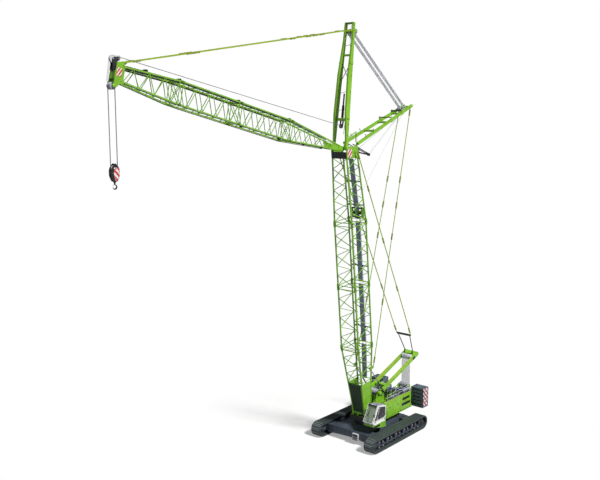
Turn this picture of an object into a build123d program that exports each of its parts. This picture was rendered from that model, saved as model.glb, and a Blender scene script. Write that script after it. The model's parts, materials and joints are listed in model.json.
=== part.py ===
from build123d import *

# Luffing-jib crawler crane with lattice boom, at its real size, in millimetres.
# +X is forward, +Y is the crane's left, +Z is up. The origin is on the ground under the slewing axis.

import os
from math import atan2, cos, degrees, hypot, pi, radians, sin

os.makedirs("parts", exist_ok=True)

# ---------------------------------------------------------------- clearances
SEAT_GAP = 0.3          # between a piece and the piece of another body that it stands on
PIN_GAP = 0.1           # radial, between a pin and its bore
MOVE_GAP = 12.0         # between pieces that move past each other

# ---------------------------------------------------------------- tracks
TRACK_HALF_BASE = 4000.0    # slewing axis to the idler or sprocket axis
TRACK_HEIGHT = 1330.0
TRACK_OUTER = 3680.0        # slewing axis to the outer edge of the shoes
SHOE_WIDTH = 1090.0
SHOE_THICK = 95.0
GROUSER = 55.0              # height of the pad on each shoe
SPROCKET_TEETH = 16
TOOTH_DEEP = 45.0
SHOE_PITCH = 400.0          # wanted pitch; the loop is divided evenly
PAD_SHARE = 0.86            # of the pitch, the rest is the gap between two shoes
CHAIN_THICK = 90.0          # links inside the shoes
WHEEL_WIDTH = 380.0
ROLLER_RADIUS = 170.0
ROLLER_COUNT = 11
SIDE_FRAME_WIDTH = 620.0
SIDE_FRAME_WALL = 60.0
RECESS_COUNT = 5

# ---------------------------------------------------------------- car body
BODY_TOP = 1180.0
BODY_BOTTOM = 330.0
BODY_HALF_LENGTH = TRACK_HALF_BASE - 600.0
BEAM_LENGTH = 1050.0        # fore-and-aft length of each cross beam
BODY_HALF_WIDTH = 1850.0
ARCH_RISE = 180.0
RING_OUTER = 1500.0
RING_INNER = 1180.0
RING_LOWER = 300.0
RING_UPPER = 240.0

# ---------------------------------------------------------------- upper structure
DECK_BOTTOM = BODY_TOP + RING_LOWER + SEAT_GAP + RING_UPPER
DECK_THICK = 320.0
DECK_TOP = DECK_BOTTOM + DECK_THICK
LONGERON_THICK = 120.0
LONGERON_TOP = 3000.0
DECK_FRONT = 300.0          # ahead of it only the longerons go on
DECK_REAR = -4500.0
PANEL_Y = 1950.0            # outer face of each side panel
PANEL_THICK = 60.0
PANEL_FRONT = 400.0
PANEL_REAR = -4250.0
PANEL_BOTTOM = 1880.0
PANEL_TOP = 3440.0

CW_INNER = 1730.0
CW_OUTER = 3120.0
CW_FRONT = -4620.0
CW_REAR = -5650.0
CW_SLAB = 370.0
CW_SLABS = 5
CW_BASE = 1790.0            # underside of the counterweight tray
CW_TRAY = 140.0

# ---------------------------------------------------------------- cab
CAB_INNER = 1390.0
CAB_OUTER = 2450.0
CAB_REAR = 950.0
CAB_NOSE = 3150.0
CAB_ROOF_FRONT = 2230.0
CAB_FLOOR = 2060.0
CAB_ROOF_FRONT_Z = 3850.0
CAB_ROOF_REAR_Z = 3560.0
CAB_WALL = 55.0
CAB_PILLAR = 110.0
GLASS = 12.0
DOOR_THICK = 50.0

# ---------------------------------------------------------------- boom
BOOM_FOOT = (1636.0, 1970.0)        # x, z of the foot pin
BOOM_LEAN = 5.71                    # degrees forward of upright
BOOM_WIDE = 1964.0                  # chord centres, sideways
BOOM_DEEP = 2139.0                  # chord centres, fore and aft
BOOM_CHORD = 110.0
BOOM_LACE = 56.0
BOOM_LUG = 170.0
BOOM_LUG_LONG = 300.0
BOOM_FOOT_LENGTH = 7260.0
INSERT_LENGTH = 6000.0
BOOM_HEAD_LENGTH = 7100.0
BOOM_FOOT_WIDE = 1260.0             # chord centres at the foot
BOOM_FOOT_FRONT = 130.0
BOOM_FOOT_REAR = -800.0             # the rear chords run nearly straight down, the front ones draw in
BOOM_EAR_OUT = 810.0                # outer face of the foot's ears
BOOM_EAR_THICK = 180.0
BOOM_HEAD_DEEP = 1560.0
BOOM_HEAD_WIDE = 1600.0
BOOM_LATTICE_SHORT = 900.0          # the head's lattice stops this far below its top
CHEEK = 60.0                        # thickness of the head's two cheeks
BOOM_PIN = 150.0                    # diameter

# ---------------------------------------------------------------- jib, local z along the jib, local x downwards
JIB_PIN_AHEAD = 959.0               # jib pin from the boom's head point, level and upright
JIB_PIN_DROP = 331.0
JIB_ANGLE = 13.51                   # degrees above level
JIB_WIDE = 1184.0
JIB_DEEP = 1631.0
JIB_CHORD = 95.0
JIB_LACE = 44.0
JIB_LUG = 135.0
JIB_LUG_LONG = 240.0
JIB_EAR_THICK = 125.0
JIB_FOOT_LENGTH = 7456.0
JIB_HEAD_LENGTH = 4950.0
JIB_FOOT_DEEP = 330.0
JIB_FOOT_WIDE = 760.0
JIB_HEAD_LOW = 470.0                # lower and upper chords where the head's lattice ends
JIB_HEAD_UP = -500.0
JIB_HEAD_WIDE = 560.0
JIB_LATTICE_END = 24300.0
JIB_CHEEK = 60.0
SHEAVE_LOW = (889.0, 24785.0)       # the hoist sheaves' shaft: downwards, along
SHEAVE_TOP = (-840.0, 25040.0)      # the two guide sheaves above
SHEAVE_REAR = (-990.0, 24620.0)
HEAD_EYE = (-806.0, 24170.0)        # the pendants' pin
JIB_PIN = 120.0

# ---------------------------------------------------------------- struts, mast, ropes
STRUT_WIDE = 170.0
STRUT_DEEP = 260.0
STRUT_PIN = 120.0
FRONT_STRUT_LENGTH = 11050.0
FRONT_STRUT_ANGLE = 97.0
FRONT_STRUT_BASE = BOOM_HEAD_WIDE - 2 * MOVE_GAP - STRUT_WIDE      # leg centres, between the boom's cheeks
FRONT_STRUT_TIP = 818.0
FRONT_BELLY = 420.0                 # front edge of each leg at its deepest
STRUT_EYE = (60.0, 10385.0)         # pendants' pin: ahead of the leg's middle, along
JIB_PENDANT_HALF = 550.0
REAR_STRUT_FOOT = (-779.0, 68.0)    # in the boom's frame: forwards, above the boom's top
REAR_STRUT_LENGTH = 9750.0
REAR_STRUT_ANGLE = 159.75
REAR_STRUT_BASE = 1550.0
REAR_STRUT_TIP = 880.0
GUY_PIN = 9180.0                    # guys' pin, along the rear strut
STRUT_SHEAVE_RADIUS = 220.0
FRONT_SHEAVE = (-360.0, 10330.0)    # behind the front strut's legs
REAR_SHEAVE = (60.0, 8500.0)        # between the rear strut's legs
FRONT_ROWS = (130.0, 228.0, 326.0, 424.0)    # each side's rope sheaves, from the middle
REAR_ROWS = (130.0, 228.0, 326.0)
BRACKET_OUT = (465.0, 520.0)
BRACKET_IN = (40.0, 75.0)
MAST_FOOT = (-550.0, 3950.0)
MAST_HEAD = (-7200.0, 6360.0)
MAST_HALF = 700.0                   # leg centre from the middle
MAST_WIDE = 200.0
MAST_DEEP = 330.0
MAST_PIN = 110.0
LUG_PLATE = 70.0
MAST_EAR = (430.0, 6770.0)          # the pendants' pin in the mast's frame: upwards, along
MAST_SHEAVE = (60.0, 6300.0)

PENDANT_TOP = (-120.0, 25750.0)     # in the boom's frame: forwards, along
PENDANT_HALF_TOP = 1120.0           # from the middle
PENDANT_HALF_LOW = 850.0
PENDANT_WIDE = 90.0
PENDANT_THICK = 45.0
LINK_HALF = 440.0
BRIDLE_UP = 2300.0                  # bridle beam above the mast's ears, along the pendants
BRIDLE_BEAM = 180.0
GUY_LOW = (-1060.0, 4950.0)         # in the boom's frame
GUY_HALF_LOW = 1040.0
BACKSTOP_TOP = (-1060.0, 4480.0)    # in the boom's frame
BACKSTOP_FOOT = (-1460.0, 3370.0)   # x, z
BACKSTOP_Y = 885.0
BACKSTOP_SHORT = 60.0               # the rod's end stands this far before the boom's rear chord
BACKSTOP_BARREL = 140.0
BACKSTOP_ROD = 90.0
BACKSTOP_BARREL_LENGTH = 2500.0

SHEAVE_THICK = 60.0
SHEAVE_RADIUS = 260.0
HOIST_SHEAVE_RADIUS = 245.0
HOIST_SHEAVE_PITCH = 110.0
LUFF_SHEAVES = (-475.0, -285.0, -95.0, 95.0, 285.0, 475.0)
LUFF_WIDE = 1040.0
DECK_SHEAVE = (-6050.0, 3200.0)
BRACKET_HALF = 570.0                # deck sheaves' bracket plates
EYE_BOLT = 40.0                     # radius of the pins that hold pendants and guys
ROPE_BAND = 30.0
BAND_WIDE = 354.0
BAND_HALF = 277.0                   # band centre from the middle
FALL_LENGTH = 5030.0                # lower sheave axis to the top of the hook block
FALL_DIAMETER = 28.0
BLOCK_LENGTH = 700.0
BLOCK_HEIGHT = 1220.0
BLOCK_THICK = 300.0
HOOK_THICK = 110.0


# ---------------------------------------------------------------- shapes
def box(x0, x1, y0, y1, z0, z1):
    """A rectangular block between two corners."""
    return Pos((x0 + x1) / 2, (y0 + y1) / 2, (z0 + z1) / 2) * Box(x1 - x0, y1 - y0, z1 - z0)


def side_plate(points, y0, y1):
    """A plate whose outline lies in the XZ plane, from y0 to y1."""
    outline = Polyline(*[(x, y0, z) for x, z in points], close=True)
    return extrude(make_face(outline), amount=y1 - y0, dir=(0, 1, 0))


def front_plate(points, x0, x1):
    """A plate whose outline lies in the YZ plane, from x0 to x1."""
    outline = Polyline(*[(x0, y, z) for y, z in points], close=True)
    return extrude(make_face(outline), amount=x1 - x0, dir=(1, 0, 0))


def cross_cylinder(x, z, radius, y0, y1):
    """A round bar lying along Y."""
    return Pos(x, (y0 + y1) / 2, z) * Rot(90, 0, 0) * Cylinder(radius, y1 - y0)


def ring_points(x, z, radius, sides, facing=0.0):
    """Corners of a regular outline in the XZ plane, one of them at the angle `facing`."""
    turns = [facing + 2 * pi * k / sides for k in range(sides)]
    return [(x + radius * cos(turn), z + radius * sin(turn)) for turn in turns]


def cross_prism(x, z, radius, y0, y1, sides, facing=0.0):
    """A many-sided bar lying along Y."""
    return side_plate(ring_points(x, z, radius, sides, facing), y0, y1)


def beam(start, end, wide, deep, across=(0, 1, 0)):
    """A straight box beam between two points, `wide` measured along `across`."""
    start, run = Vector(*start), Vector(*end) - Vector(*start)
    across = Vector(*across)
    side = across - run * (across.dot(run) / run.dot(run))
    plane = Plane(origin=start, x_dir=side, z_dir=run)
    return extrude(plane * Rectangle(wide, deep), amount=run.length)


def leaning(start, end, wide_x, wide_y):
    """A rectangular bar whose two ends stay level with the ends of its section."""
    run = Vector(*end) - Vector(*start)
    face = Pos(*start) * Rectangle(wide_x, wide_y)
    return extrude(face, amount=run.length, dir=run)


def eye_bar(start, end, thick, wide):
    """A flat bar with an eye at each end, its two pins lying along Y."""
    run = (Vector(*end) - Vector(*start)).normalized()
    past = wide * 0.75
    ends = [Vector(*start) - run * past, Vector(*end) + run * past]
    bar = beam((ends[0].X, ends[0].Y, ends[0].Z), (ends[1].X, ends[1].Y, ends[1].Z), thick, wide)
    for x, y, z in (start, end):
        bar -= cross_cylinder(x, z, EYE_BOLT / 2 + PIN_GAP, y - 3 * thick, y + 3 * thick)
    return bar


def mirrored(shape):
    """The shape's copy on the crane's other side."""
    return shape.mirror(Plane.XZ)


def both_sides(shape):
    return [shape, mirrored(shape)]


def along(point, angle):
    """The place of something whose own z axis rises at an angle above level, seen from the left."""
    return Pos(point[0], 0, point[1]) * Rot(0, 90 - angle, 0)


# ---------------------------------------------------------------- lattice sections
def corners(section):
    """Chord centres of one end: front left, front right, rear right, rear left."""
    front, rear, half = section
    return [(front, half), (front, -half), (rear, -half), (rear, half)]


def between(start, end, share):
    """The point, or the section, a share of the way along."""
    return tuple(a + (b - a) * share for a, b in zip(start, end))


def lattice(z0, z1, first, last, bays, chord, lace, bare=0.0):
    """One welded lattice section from z0 to z1.

    first and last give (front x, rear x, half width) of the chord centres at the two ends.
    bare is the length at z0 with no lacing.
    """
    starts = [(x, y, z0) for x, y in corners(first)]
    ends = [(x, y, z1) for x, y in corners(last)]
    members = [leaning(a, b, chord, chord) for a, b in zip(starts, ends)]
    inset = 1.5 * chord
    low = (inset + bare) / (z1 - z0)
    high = 1 - inset / (z1 - z0)

    def bar(i, share_i, j, share_j, across):
        members.append(beam(between(starts[i], ends[i], share_i), between(starts[j], ends[j], share_j), lace, lace, across))

    for i in range(4):
        j = (i + 1) % 4
        across = (0, 1, 0) if i % 2 else (1, 0, 0)
        for share in (low, high):
            bar(i, share, j, share, across)
        for bay in range(bays):
            here = low + (high - low) * bay / bays
            there = low + (high - low) * (bay + 1) / bays
            near, far = (i, j) if bay % 2 == 0 else (j, i)
            bar(near, here, far, there, across)
    for share in (low, high):
        bar(0, share, 2, share, (0, 0, 1))
    return members


def lugs(z0, z1, first, last, size, long):
    """The thicker pin connectors at both ends of a section's four chords."""
    blocks = []
    for (x0, y0), (x1, y1) in zip(corners(first), corners(last)):
        share = long / (z1 - z0)
        start, end = (x0, y0, z0), (x1, y1, z1)
        blocks.append(leaning(start, between(start, end, share), size, size))
        blocks.append(leaning(between(start, end, 1 - share), end, size, size))
    return blocks


def weld(members):
    """One solid from pieces that meet."""
    return members[0] + members[1:]


# ---------------------------------------------------------------- undercarriage
def track_loop():
    """One crawler's closed chain, its shoes and their bars in the outline."""
    outer = TRACK_HEIGHT / 2
    centre_z = outer
    pitch_radius = outer - GROUSER
    straight = 2 * TRACK_HALF_BASE
    loop = 2 * straight + 2 * pi * pitch_radius
    count = round(loop / SHOE_PITCH)
    pitch = loop / count
    pad = PAD_SHARE * pitch

    def place(travel, height):
        """A point at a distance round the loop and a height outside the shoe plates."""
        travel %= loop
        r = pitch_radius + height
        if travel < straight:
            return (TRACK_HALF_BASE - travel, centre_z + r)
        travel -= straight
        if travel < pi * pitch_radius:
            turn = travel / pitch_radius
            return (-TRACK_HALF_BASE - r * sin(turn), centre_z + r * cos(turn))
        travel -= pi * pitch_radius
        if travel < straight:
            return (-TRACK_HALF_BASE + travel, centre_z - r)
        turn = (travel - straight) / pitch_radius
        return (TRACK_HALF_BASE + r * sin(turn), centre_z - r * cos(turn))

    points = []
    for shoe in range(count):
        start = shoe * pitch
        points += [place(start, 0), place(start, GROUSER), place(start + pad, GROUSER), place(start + pad, 0)]
    y0 = TRACK_OUTER - SHOE_WIDTH
    shoes = side_plate(points, y0, TRACK_OUTER)
    inner_radius = pitch_radius - SHOE_THICK
    middle = TRACK_OUTER - SHOE_WIDTH / 2
    hollow = extrude(
        Plane((0, y0, centre_z), x_dir=(1, 0, 0), z_dir=(0, 1, 0)) * SlotCenterToCenter(straight, 2 * inner_radius),
        amount=SHOE_WIDTH,
    )
    ring_outer = extrude(
        Plane((0, middle - WHEEL_WIDTH / 2, centre_z), x_dir=(1, 0, 0), z_dir=(0, 1, 0))
        * SlotCenterToCenter(straight, 2 * inner_radius + 2),
        amount=WHEEL_WIDTH,
    )
    ring_inner = extrude(
        Plane((0, y0, centre_z), x_dir=(1, 0, 0), z_dir=(0, 1, 0))
        * SlotCenterToCenter(straight, 2 * (inner_radius - CHAIN_THICK)),
        amount=SHOE_WIDTH,
    )
    return (shoes - hollow) + (ring_outer - ring_inner)


WHEEL_RADIUS = TRACK_HEIGHT / 2 - GROUSER - SHOE_THICK - CHAIN_THICK - SEAT_GAP
TRACK_MIDDLE = TRACK_OUTER - SHOE_WIDTH / 2
AXLE_Z = TRACK_HEIGHT / 2
FRAME_LOW = TRACK_HEIGHT / 2 - WHEEL_RADIUS + 2 * ROLLER_RADIUS * 0.55
FRAME_HIGH = TRACK_HEIGHT / 2 + WHEEL_RADIUS - 60


def crawler_frame():
    """One crawler's long box frame, recessed along its outer side."""
    y0 = TRACK_MIDDLE - SIDE_FRAME_WIDTH / 2
    y1 = TRACK_MIDDLE + SIDE_FRAME_WIDTH / 2
    reach = TRACK_HALF_BASE - WHEEL_RADIUS - 90
    body = box(-reach, reach, y0, y1, FRAME_LOW, FRAME_HIGH)
    web = 2 * reach / RECESS_COUNT
    deep = 0.5 * SIDE_FRAME_WIDTH
    cuts = []
    for i in range(RECESS_COUNT):
        x0 = -reach + i * web + SIDE_FRAME_WALL
        cuts.append(box(x0, x0 + web - 2 * SIDE_FRAME_WALL, y1 - deep, y1 + 1,
                        FRAME_LOW + SIDE_FRAME_WALL, FRAME_HIGH - SIDE_FRAME_WALL))
    body = body - cuts
    cheek_gap = WHEEL_WIDTH / 2 + 8
    cheeks = []
    for end in (-1, 1):
        for side in (-1, 1):
            inner = TRACK_MIDDLE + side * cheek_gap
            outer = TRACK_MIDDLE + side * SIDE_FRAME_WIDTH / 2
            xs = sorted((end * (reach - 1), end * (TRACK_HALF_BASE + 130)))
            ys = sorted((inner, outer))
            cheeks.append(box(xs[0], xs[1], ys[0], ys[1], AXLE_Z - 150, AXLE_Z + 150))
    return weld([body] + cheeks)


def toothed_wheel(x):
    """A drive wheel whose teeth reach the chain."""
    half = WHEEL_WIDTH / 2
    points = []
    for k in range(4 * SPROCKET_TEETH):
        turn = 2 * pi * (k + 0.5) / (4 * SPROCKET_TEETH)
        radius = WHEEL_RADIUS if k % 4 < 2 else WHEEL_RADIUS - TOOTH_DEEP
        points.append((x + radius * cos(turn), AXLE_Z + radius * sin(turn)))
    return side_plate(points, TRACK_MIDDLE - half, TRACK_MIDDLE + half)


def plain_wheel(x):
    half = WHEEL_WIDTH / 2
    return cross_prism(x, AXLE_Z, WHEEL_RADIUS, TRACK_MIDDLE - half, TRACK_MIDDLE + half, 36)


def bottom_rollers():
    """One crawler's row of rollers, between the frame and the chain."""
    rollers = []
    floor = TRACK_HEIGHT / 2 - (WHEEL_RADIUS + SEAT_GAP)
    radius = (FRAME_LOW - SEAT_GAP - floor - SEAT_GAP) / 2
    reach = TRACK_HALF_BASE - WHEEL_RADIUS - 2 * radius - 60
    for k in range(ROLLER_COUNT):
        x = -reach + 2 * reach * k / (ROLLER_COUNT - 1)
        rollers.append(cross_prism(x, floor + SEAT_GAP + radius, radius, TRACK_MIDDLE - WHEEL_WIDTH / 2,
                                   TRACK_MIDDLE + WHEEL_WIDTH / 2, 12))
    return rollers


def car_body():
    """The low frame between the crawlers: two arched cross beams, a deck and the slewing pedestal."""
    inner = TRACK_MIDDLE - SIDE_FRAME_WIDTH / 2
    deck = box(-BODY_HALF_LENGTH, BODY_HALF_LENGTH, -BODY_HALF_WIDTH, BODY_HALF_WIDTH, BODY_BOTTOM + 250, BODY_TOP)
    pieces = [deck]
    shoe_inner = TRACK_OUTER - SHOE_WIDTH - 40
    for end in (-1, 1):
        x0, x1 = sorted((end * BODY_HALF_LENGTH, end * (BODY_HALF_LENGTH - BEAM_LENGTH)))
        outline = [(-inner, FRAME_LOW + 60), (-shoe_inner, FRAME_LOW), (-shoe_inner, BODY_BOTTOM),
                   (-0.55 * shoe_inner, BODY_BOTTOM + 0.6 * ARCH_RISE), (0, BODY_BOTTOM + ARCH_RISE),
                   (0.55 * shoe_inner, BODY_BOTTOM + 0.6 * ARCH_RISE),
                   (shoe_inner, BODY_BOTTOM), (shoe_inner, FRAME_LOW), (inner, FRAME_LOW + 60),
                   (inner, FRAME_HIGH - 60), (shoe_inner, BODY_TOP - 40), (BODY_HALF_WIDTH, BODY_TOP),
                   (-BODY_HALF_WIDTH, BODY_TOP), (-shoe_inner, BODY_TOP - 40), (-inner, FRAME_HIGH - 60)]
        pieces.append(front_plate(outline, x0, x1))
    return weld(pieces)


def slewing_ring(z0, z1, outer):
    ring = Cylinder(outer, z1 - z0) - Cylinder(RING_INNER, z1 - z0)
    return Pos(0, 0, (z0 + z1) / 2) * ring


def step():
    """The two-rung boarding step hung on the front cross beam."""
    x0 = BODY_HALF_LENGTH + SEAT_GAP
    y0, y1 = 520.0, 1120.0
    frame = []
    for y in (y0, y1):
        frame.append(box(x0, x0 + 190, y - 20, y + 20, 380, BODY_TOP - 120))
    for z in (400, 700, BODY_TOP - 180):
        frame.append(box(x0, x0 + 190, y0, y1, z, z + 40))
    return weld(frame)


# ---------------------------------------------------------------- upper structure
LONGERON_IN = BOOM_EAR_OUT + MOVE_GAP
LONGERON_OUT = LONGERON_IN + LONGERON_THICK
MAST_LUG_OUT = MAST_HALF - MAST_WIDE / 2 - MOVE_GAP
MAST_LUG_IN = MAST_LUG_OUT - LUG_PLATE
DRUMS = [
    # name, x, z, radius, half length, half length of the shaft
    ("hoist_drum_front", -860.0, 3800.0, 340.0, 470.0, MAST_LUG_OUT),
    ("hoist_drum_rear", -2560.0, 3900.0, 340.0, 470.0, LONGERON_IN + 70.0),
    ("luffing_drum", -3900.0, 3000.0, 260.0, 470.0, LONGERON_IN + 70.0),
]
DRUM_SHAFT = 60.0


def revolving_frame():
    """Deck, two longerons with the boom's pin ears, and the plates that carry drums, mast and backstops."""
    bx, bz = BOOM_FOOT
    mx, mz = MAST_FOOT
    kx, kz = BACKSTOP_FOOT
    half = PANEL_Y - PANEL_THICK - SEAT_GAP
    deck = box(DECK_REAR, DECK_FRONT, -half, half, DECK_BOTTOM, DECK_TOP)
    outline = [(CW_REAR + 60, CW_BASE + CW_TRAY + SEAT_GAP), (DECK_REAR, CW_BASE + CW_TRAY + SEAT_GAP),
               (DECK_REAR, DECK_BOTTOM), (bx + 60, DECK_BOTTOM), (bx + 250, bz - 60), (bx + 210, bz + 190),
               (bx - 190, bz + 230), (bx - 700, LONGERON_TOP), (DECK_REAR, LONGERON_TOP),
               (CW_REAR + 60, DECK_TOP + 500)]
    plates = [side_plate(outline, LONGERON_IN, LONGERON_OUT)]
    for name, x, z, radius, half_length, reach in DRUMS:
        bearing = [(x - 420, LONGERON_TOP - 10), (x - 100, z + 50), (x - 60, z + 90), (x + 60, z + 90), (x + 100, z + 50),
                   (x + 420, LONGERON_TOP - 10)]
        if z > LONGERON_TOP and reach > LONGERON_IN:
            plates.append(side_plate(bearing, LONGERON_IN + 20, LONGERON_IN + 60))
    lug_y = BACKSTOP_Y - 25
    plates.append(side_plate([(kx - 260, LONGERON_TOP - 10), (kx - 90, kz + 90), (kx + 90, kz + 90),
                              (kx + 260, LONGERON_TOP - 10)], lug_y, lug_y + 50))
    frame = weld(plates)
    frame -= cross_cylinder(bx, bz, BOOM_PIN / 2 + PIN_GAP, LONGERON_IN - 1, LONGERON_OUT + 1)
    frame -= cross_cylinder(kx, kz, 30 + PIN_GAP, lug_y - 1, lug_y + 51)
    for name, x, z, radius, half_length, reach in DRUMS:
        frame -= cross_cylinder(x, z, DRUM_SHAFT + PIN_GAP, LONGERON_IN - 1, LONGERON_OUT + 1)
    post = [(mx - 760, DECK_TOP - 10), (mx + 900, DECK_TOP - 10), (mx + 230, mz), (mx + 120, mz + 170),
            (mx - 120, mz + 170), (mx - 430, mz + 10), (mx - 480, mz - 260)]
    post_plate = side_plate(post, MAST_LUG_IN, MAST_LUG_OUT)
    post_plate -= cross_cylinder(mx, mz, MAST_PIN / 2 + PIN_GAP, MAST_LUG_IN - 1, MAST_LUG_OUT + 1)
    post_plate -= cross_cylinder(DRUMS[0][1], DRUMS[0][2], DRUM_SHAFT + PIN_GAP, MAST_LUG_IN - 1, MAST_LUG_OUT + 1)
    pieces = [deck] + both_sides(frame) + both_sides(post_plate)
    return weld(pieces)


def side_panel():
    outline = [(PANEL_REAR, PANEL_BOTTOM), (PANEL_FRONT, PANEL_BOTTOM - 60), (PANEL_FRONT, PANEL_TOP),
               (PANEL_REAR, PANEL_TOP)]
    return side_plate(outline, PANEL_Y - PANEL_THICK, PANEL_Y)


def counterweight_tray():
    return box(CW_REAR, CW_FRONT, -CW_OUTER, CW_OUTER, CW_BASE, CW_BASE + CW_TRAY)


def counterweight_stack():
    """One side's stack of cast slabs, each with a lifting recess in its front."""
    slabs = []
    z = CW_BASE + CW_TRAY + SEAT_GAP
    for _ in range(CW_SLABS):
        slab = box(CW_REAR, CW_FRONT, CW_INNER, CW_OUTER, z, z + CW_SLAB - SEAT_GAP)
        recess = box(CW_FRONT - 160, CW_FRONT + 1, CW_INNER + 230, CW_OUTER - 230, z + 110, z + 250)
        slabs.append(slab - recess)
        z += CW_SLAB
    return slabs


def engine_hood():
    """The engine's housing on the left of the deck, its cooling pack standing higher at the rear."""
    z0 = DECK_TOP + SEAT_GAP
    outline = [(-4200, z0), (-1300, z0), (-1300, 3150), (-1500, 3300), (-2900, 3300), (-3000, 3850), (-4100, 3850), (-4200, 3750)]
    return side_plate(outline, 1000, 1850)


def cab_outline(grow=0.0):
    """The cab's side outline, moved outwards by grow."""
    return [(CAB_REAR - grow, CAB_FLOOR - grow), (CAB_NOSE - 300 + grow, CAB_FLOOR - grow),
            (CAB_NOSE + grow, CAB_FLOOR + 260), (CAB_ROOF_FRONT + grow, CAB_ROOF_FRONT_Z + grow),
            (CAB_REAR - grow, CAB_ROOF_REAR_Z + grow)]


def cab_shell():
    """The cab's welded shell: floor, roof, rear and inner walls and the window frames."""
    shell = side_plate(cab_outline(), CAB_INNER, CAB_OUTER)
    room = side_plate(cab_outline(-CAB_WALL), CAB_INNER + CAB_WALL, CAB_OUTER + 1)
    shell = shell - room
    y0, y1 = CAB_INNER + CAB_PILLAR, CAB_OUTER - CAB_PILLAR
    windscreen = box(CAB_ROOF_FRONT - 500, CAB_NOSE + 300, y0, y1, CAB_FLOOR + 330, CAB_ROOF_FRONT_Z - 150)
    rear_window = box(CAB_REAR - 1, CAB_REAR + CAB_WALL + 1, y0, y1, CAB_FLOOR + 700, CAB_ROOF_REAR_Z - 160)
    inner_window = side_plate(cab_outline(-CAB_PILLAR - 60), CAB_INNER - 1, CAB_INNER + CAB_WALL + 1)
    rail = box(CAB_REAR, CAB_NOSE - 330, CAB_OUTER, CAB_OUTER + MOVE_GAP - SEAT_GAP, CAB_FLOOR + 20, CAB_FLOOR + 50)
    return weld([shell - [windscreen, rear_window, inner_window], rail])


def cab_door():
    """The outer side of the cab, which slides back along it."""
    y0 = CAB_OUTER + MOVE_GAP
    outer = side_plate(cab_outline(-10), y0, y0 + DOOR_THICK)
    window = side_plate([(CAB_REAR + 140, CAB_FLOOR + 640), (CAB_NOSE - 330, CAB_FLOOR + 500),
                         (CAB_ROOF_FRONT + 20, CAB_ROOF_FRONT_Z - 170), (CAB_REAR + 140, CAB_ROOF_REAR_Z - 130)],
                        y0 - 1, y0 + DOOR_THICK + 1)
    return outer - window


def cab_seat():
    x, y = CAB_REAR + 620, (CAB_INNER + CAB_OUTER) / 2
    floor = CAB_FLOOR + CAB_WALL + SEAT_GAP
    base = box(x - 180, x + 180, y - 160, y + 160, floor, floor + 320)
    cushion = box(x - 260, x + 270, y - 250, y + 250, floor + 320, floor + 450)
    back = side_plate([(x - 260, floor + 440), (x - 130, floor + 440), (x - 210, floor + 1080), (x - 330, floor + 1080)],
                      y - 240, y + 240)
    return weld([base, cushion, back])


def cab_platform():
    """The bracket under the cab, on the outside of the left longeron, deeper at its rear."""
    top = CAB_FLOOR - SEAT_GAP
    nose = CAB_NOSE - 150
    inner = box(CAB_REAR, CAB_REAR + 700, LONGERON_OUT + SEAT_GAP, RING_OUTER + MOVE_GAP + 10, top - 170, top)
    outline = [(CAB_REAR, top - 560), (CAB_REAR, top), (nose, top), (nose - 60, top - 170), (CAB_REAR + 400, top - 560)]
    floor = box(CAB_REAR, nose, CAB_INNER, RING_OUTER + MOVE_GAP + 10, top - 100, top)
    return weld([inner, floor, side_plate(outline, RING_OUTER + MOVE_GAP, CAB_OUTER + 60)])


def cab_glass():
    """The panes of the cab's fixed windows, each set in its opening."""
    y0, y1 = CAB_INNER + CAB_PILLAR + SEAT_GAP, CAB_OUTER - CAB_PILLAR - SEAT_GAP
    low = (CAB_NOSE - 30, CAB_FLOOR + 330 + SEAT_GAP)
    rise = (CAB_ROOF_FRONT_Z - 150 - SEAT_GAP) - low[1]
    slope = (CAB_NOSE - CAB_ROOF_FRONT) / (CAB_ROOF_FRONT_Z - CAB_FLOOR - 260)
    foot = CAB_NOSE - slope * 70 - 20
    head = foot - slope * rise
    front = side_plate([(foot - GLASS, low[1]), (foot, low[1]), (head, low[1] + rise), (head - GLASS, low[1] + rise)], y0, y1)
    rear = box(CAB_REAR + 20, CAB_REAR + 20 + GLASS, y0, y1, CAB_FLOOR + 700 + SEAT_GAP, CAB_ROOF_REAR_Z - 160 - SEAT_GAP)
    inner = side_plate(cab_outline(-CAB_PILLAR - 60 - SEAT_GAP), CAB_INNER + 20, CAB_INNER + 20 + GLASS)
    return [front, rear, inner]


def drum(x, z, radius, half, reach):
    """A rope drum with its two flanges, on a shaft that runs in plates of the frame."""
    core = cross_prism(x, z, radius, -half, half, 24)
    flanges = [cross_prism(x, z, radius * 1.3, s * half - 20, s * half + 20, 24) for s in (-1, 1)]
    shaft = cross_cylinder(x, z, DRUM_SHAFT, -reach, reach)
    return weld([core, shaft] + flanges)


# ---------------------------------------------------------------- boom
BOOM_PLACE = Pos(BOOM_FOOT[0], 0, BOOM_FOOT[1]) * Rot(0, BOOM_LEAN, 0)
BOOM_FULL = (BOOM_DEEP / 2, -BOOM_DEEP / 2, BOOM_WIDE / 2)
BOOM_FOOT_END = (BOOM_FOOT_FRONT, BOOM_FOOT_REAR, BOOM_FOOT_WIDE / 2)
BOOM_TOP_END = (BOOM_DEEP / 2, BOOM_DEEP / 2 - BOOM_HEAD_DEEP, BOOM_HEAD_WIDE / 2)
BOOM_JOINTS = [BOOM_FOOT_LENGTH + INSERT_LENGTH * k for k in range(3)]
BOOM_TOP = BOOM_JOINTS[-1] + BOOM_HEAD_LENGTH


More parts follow.
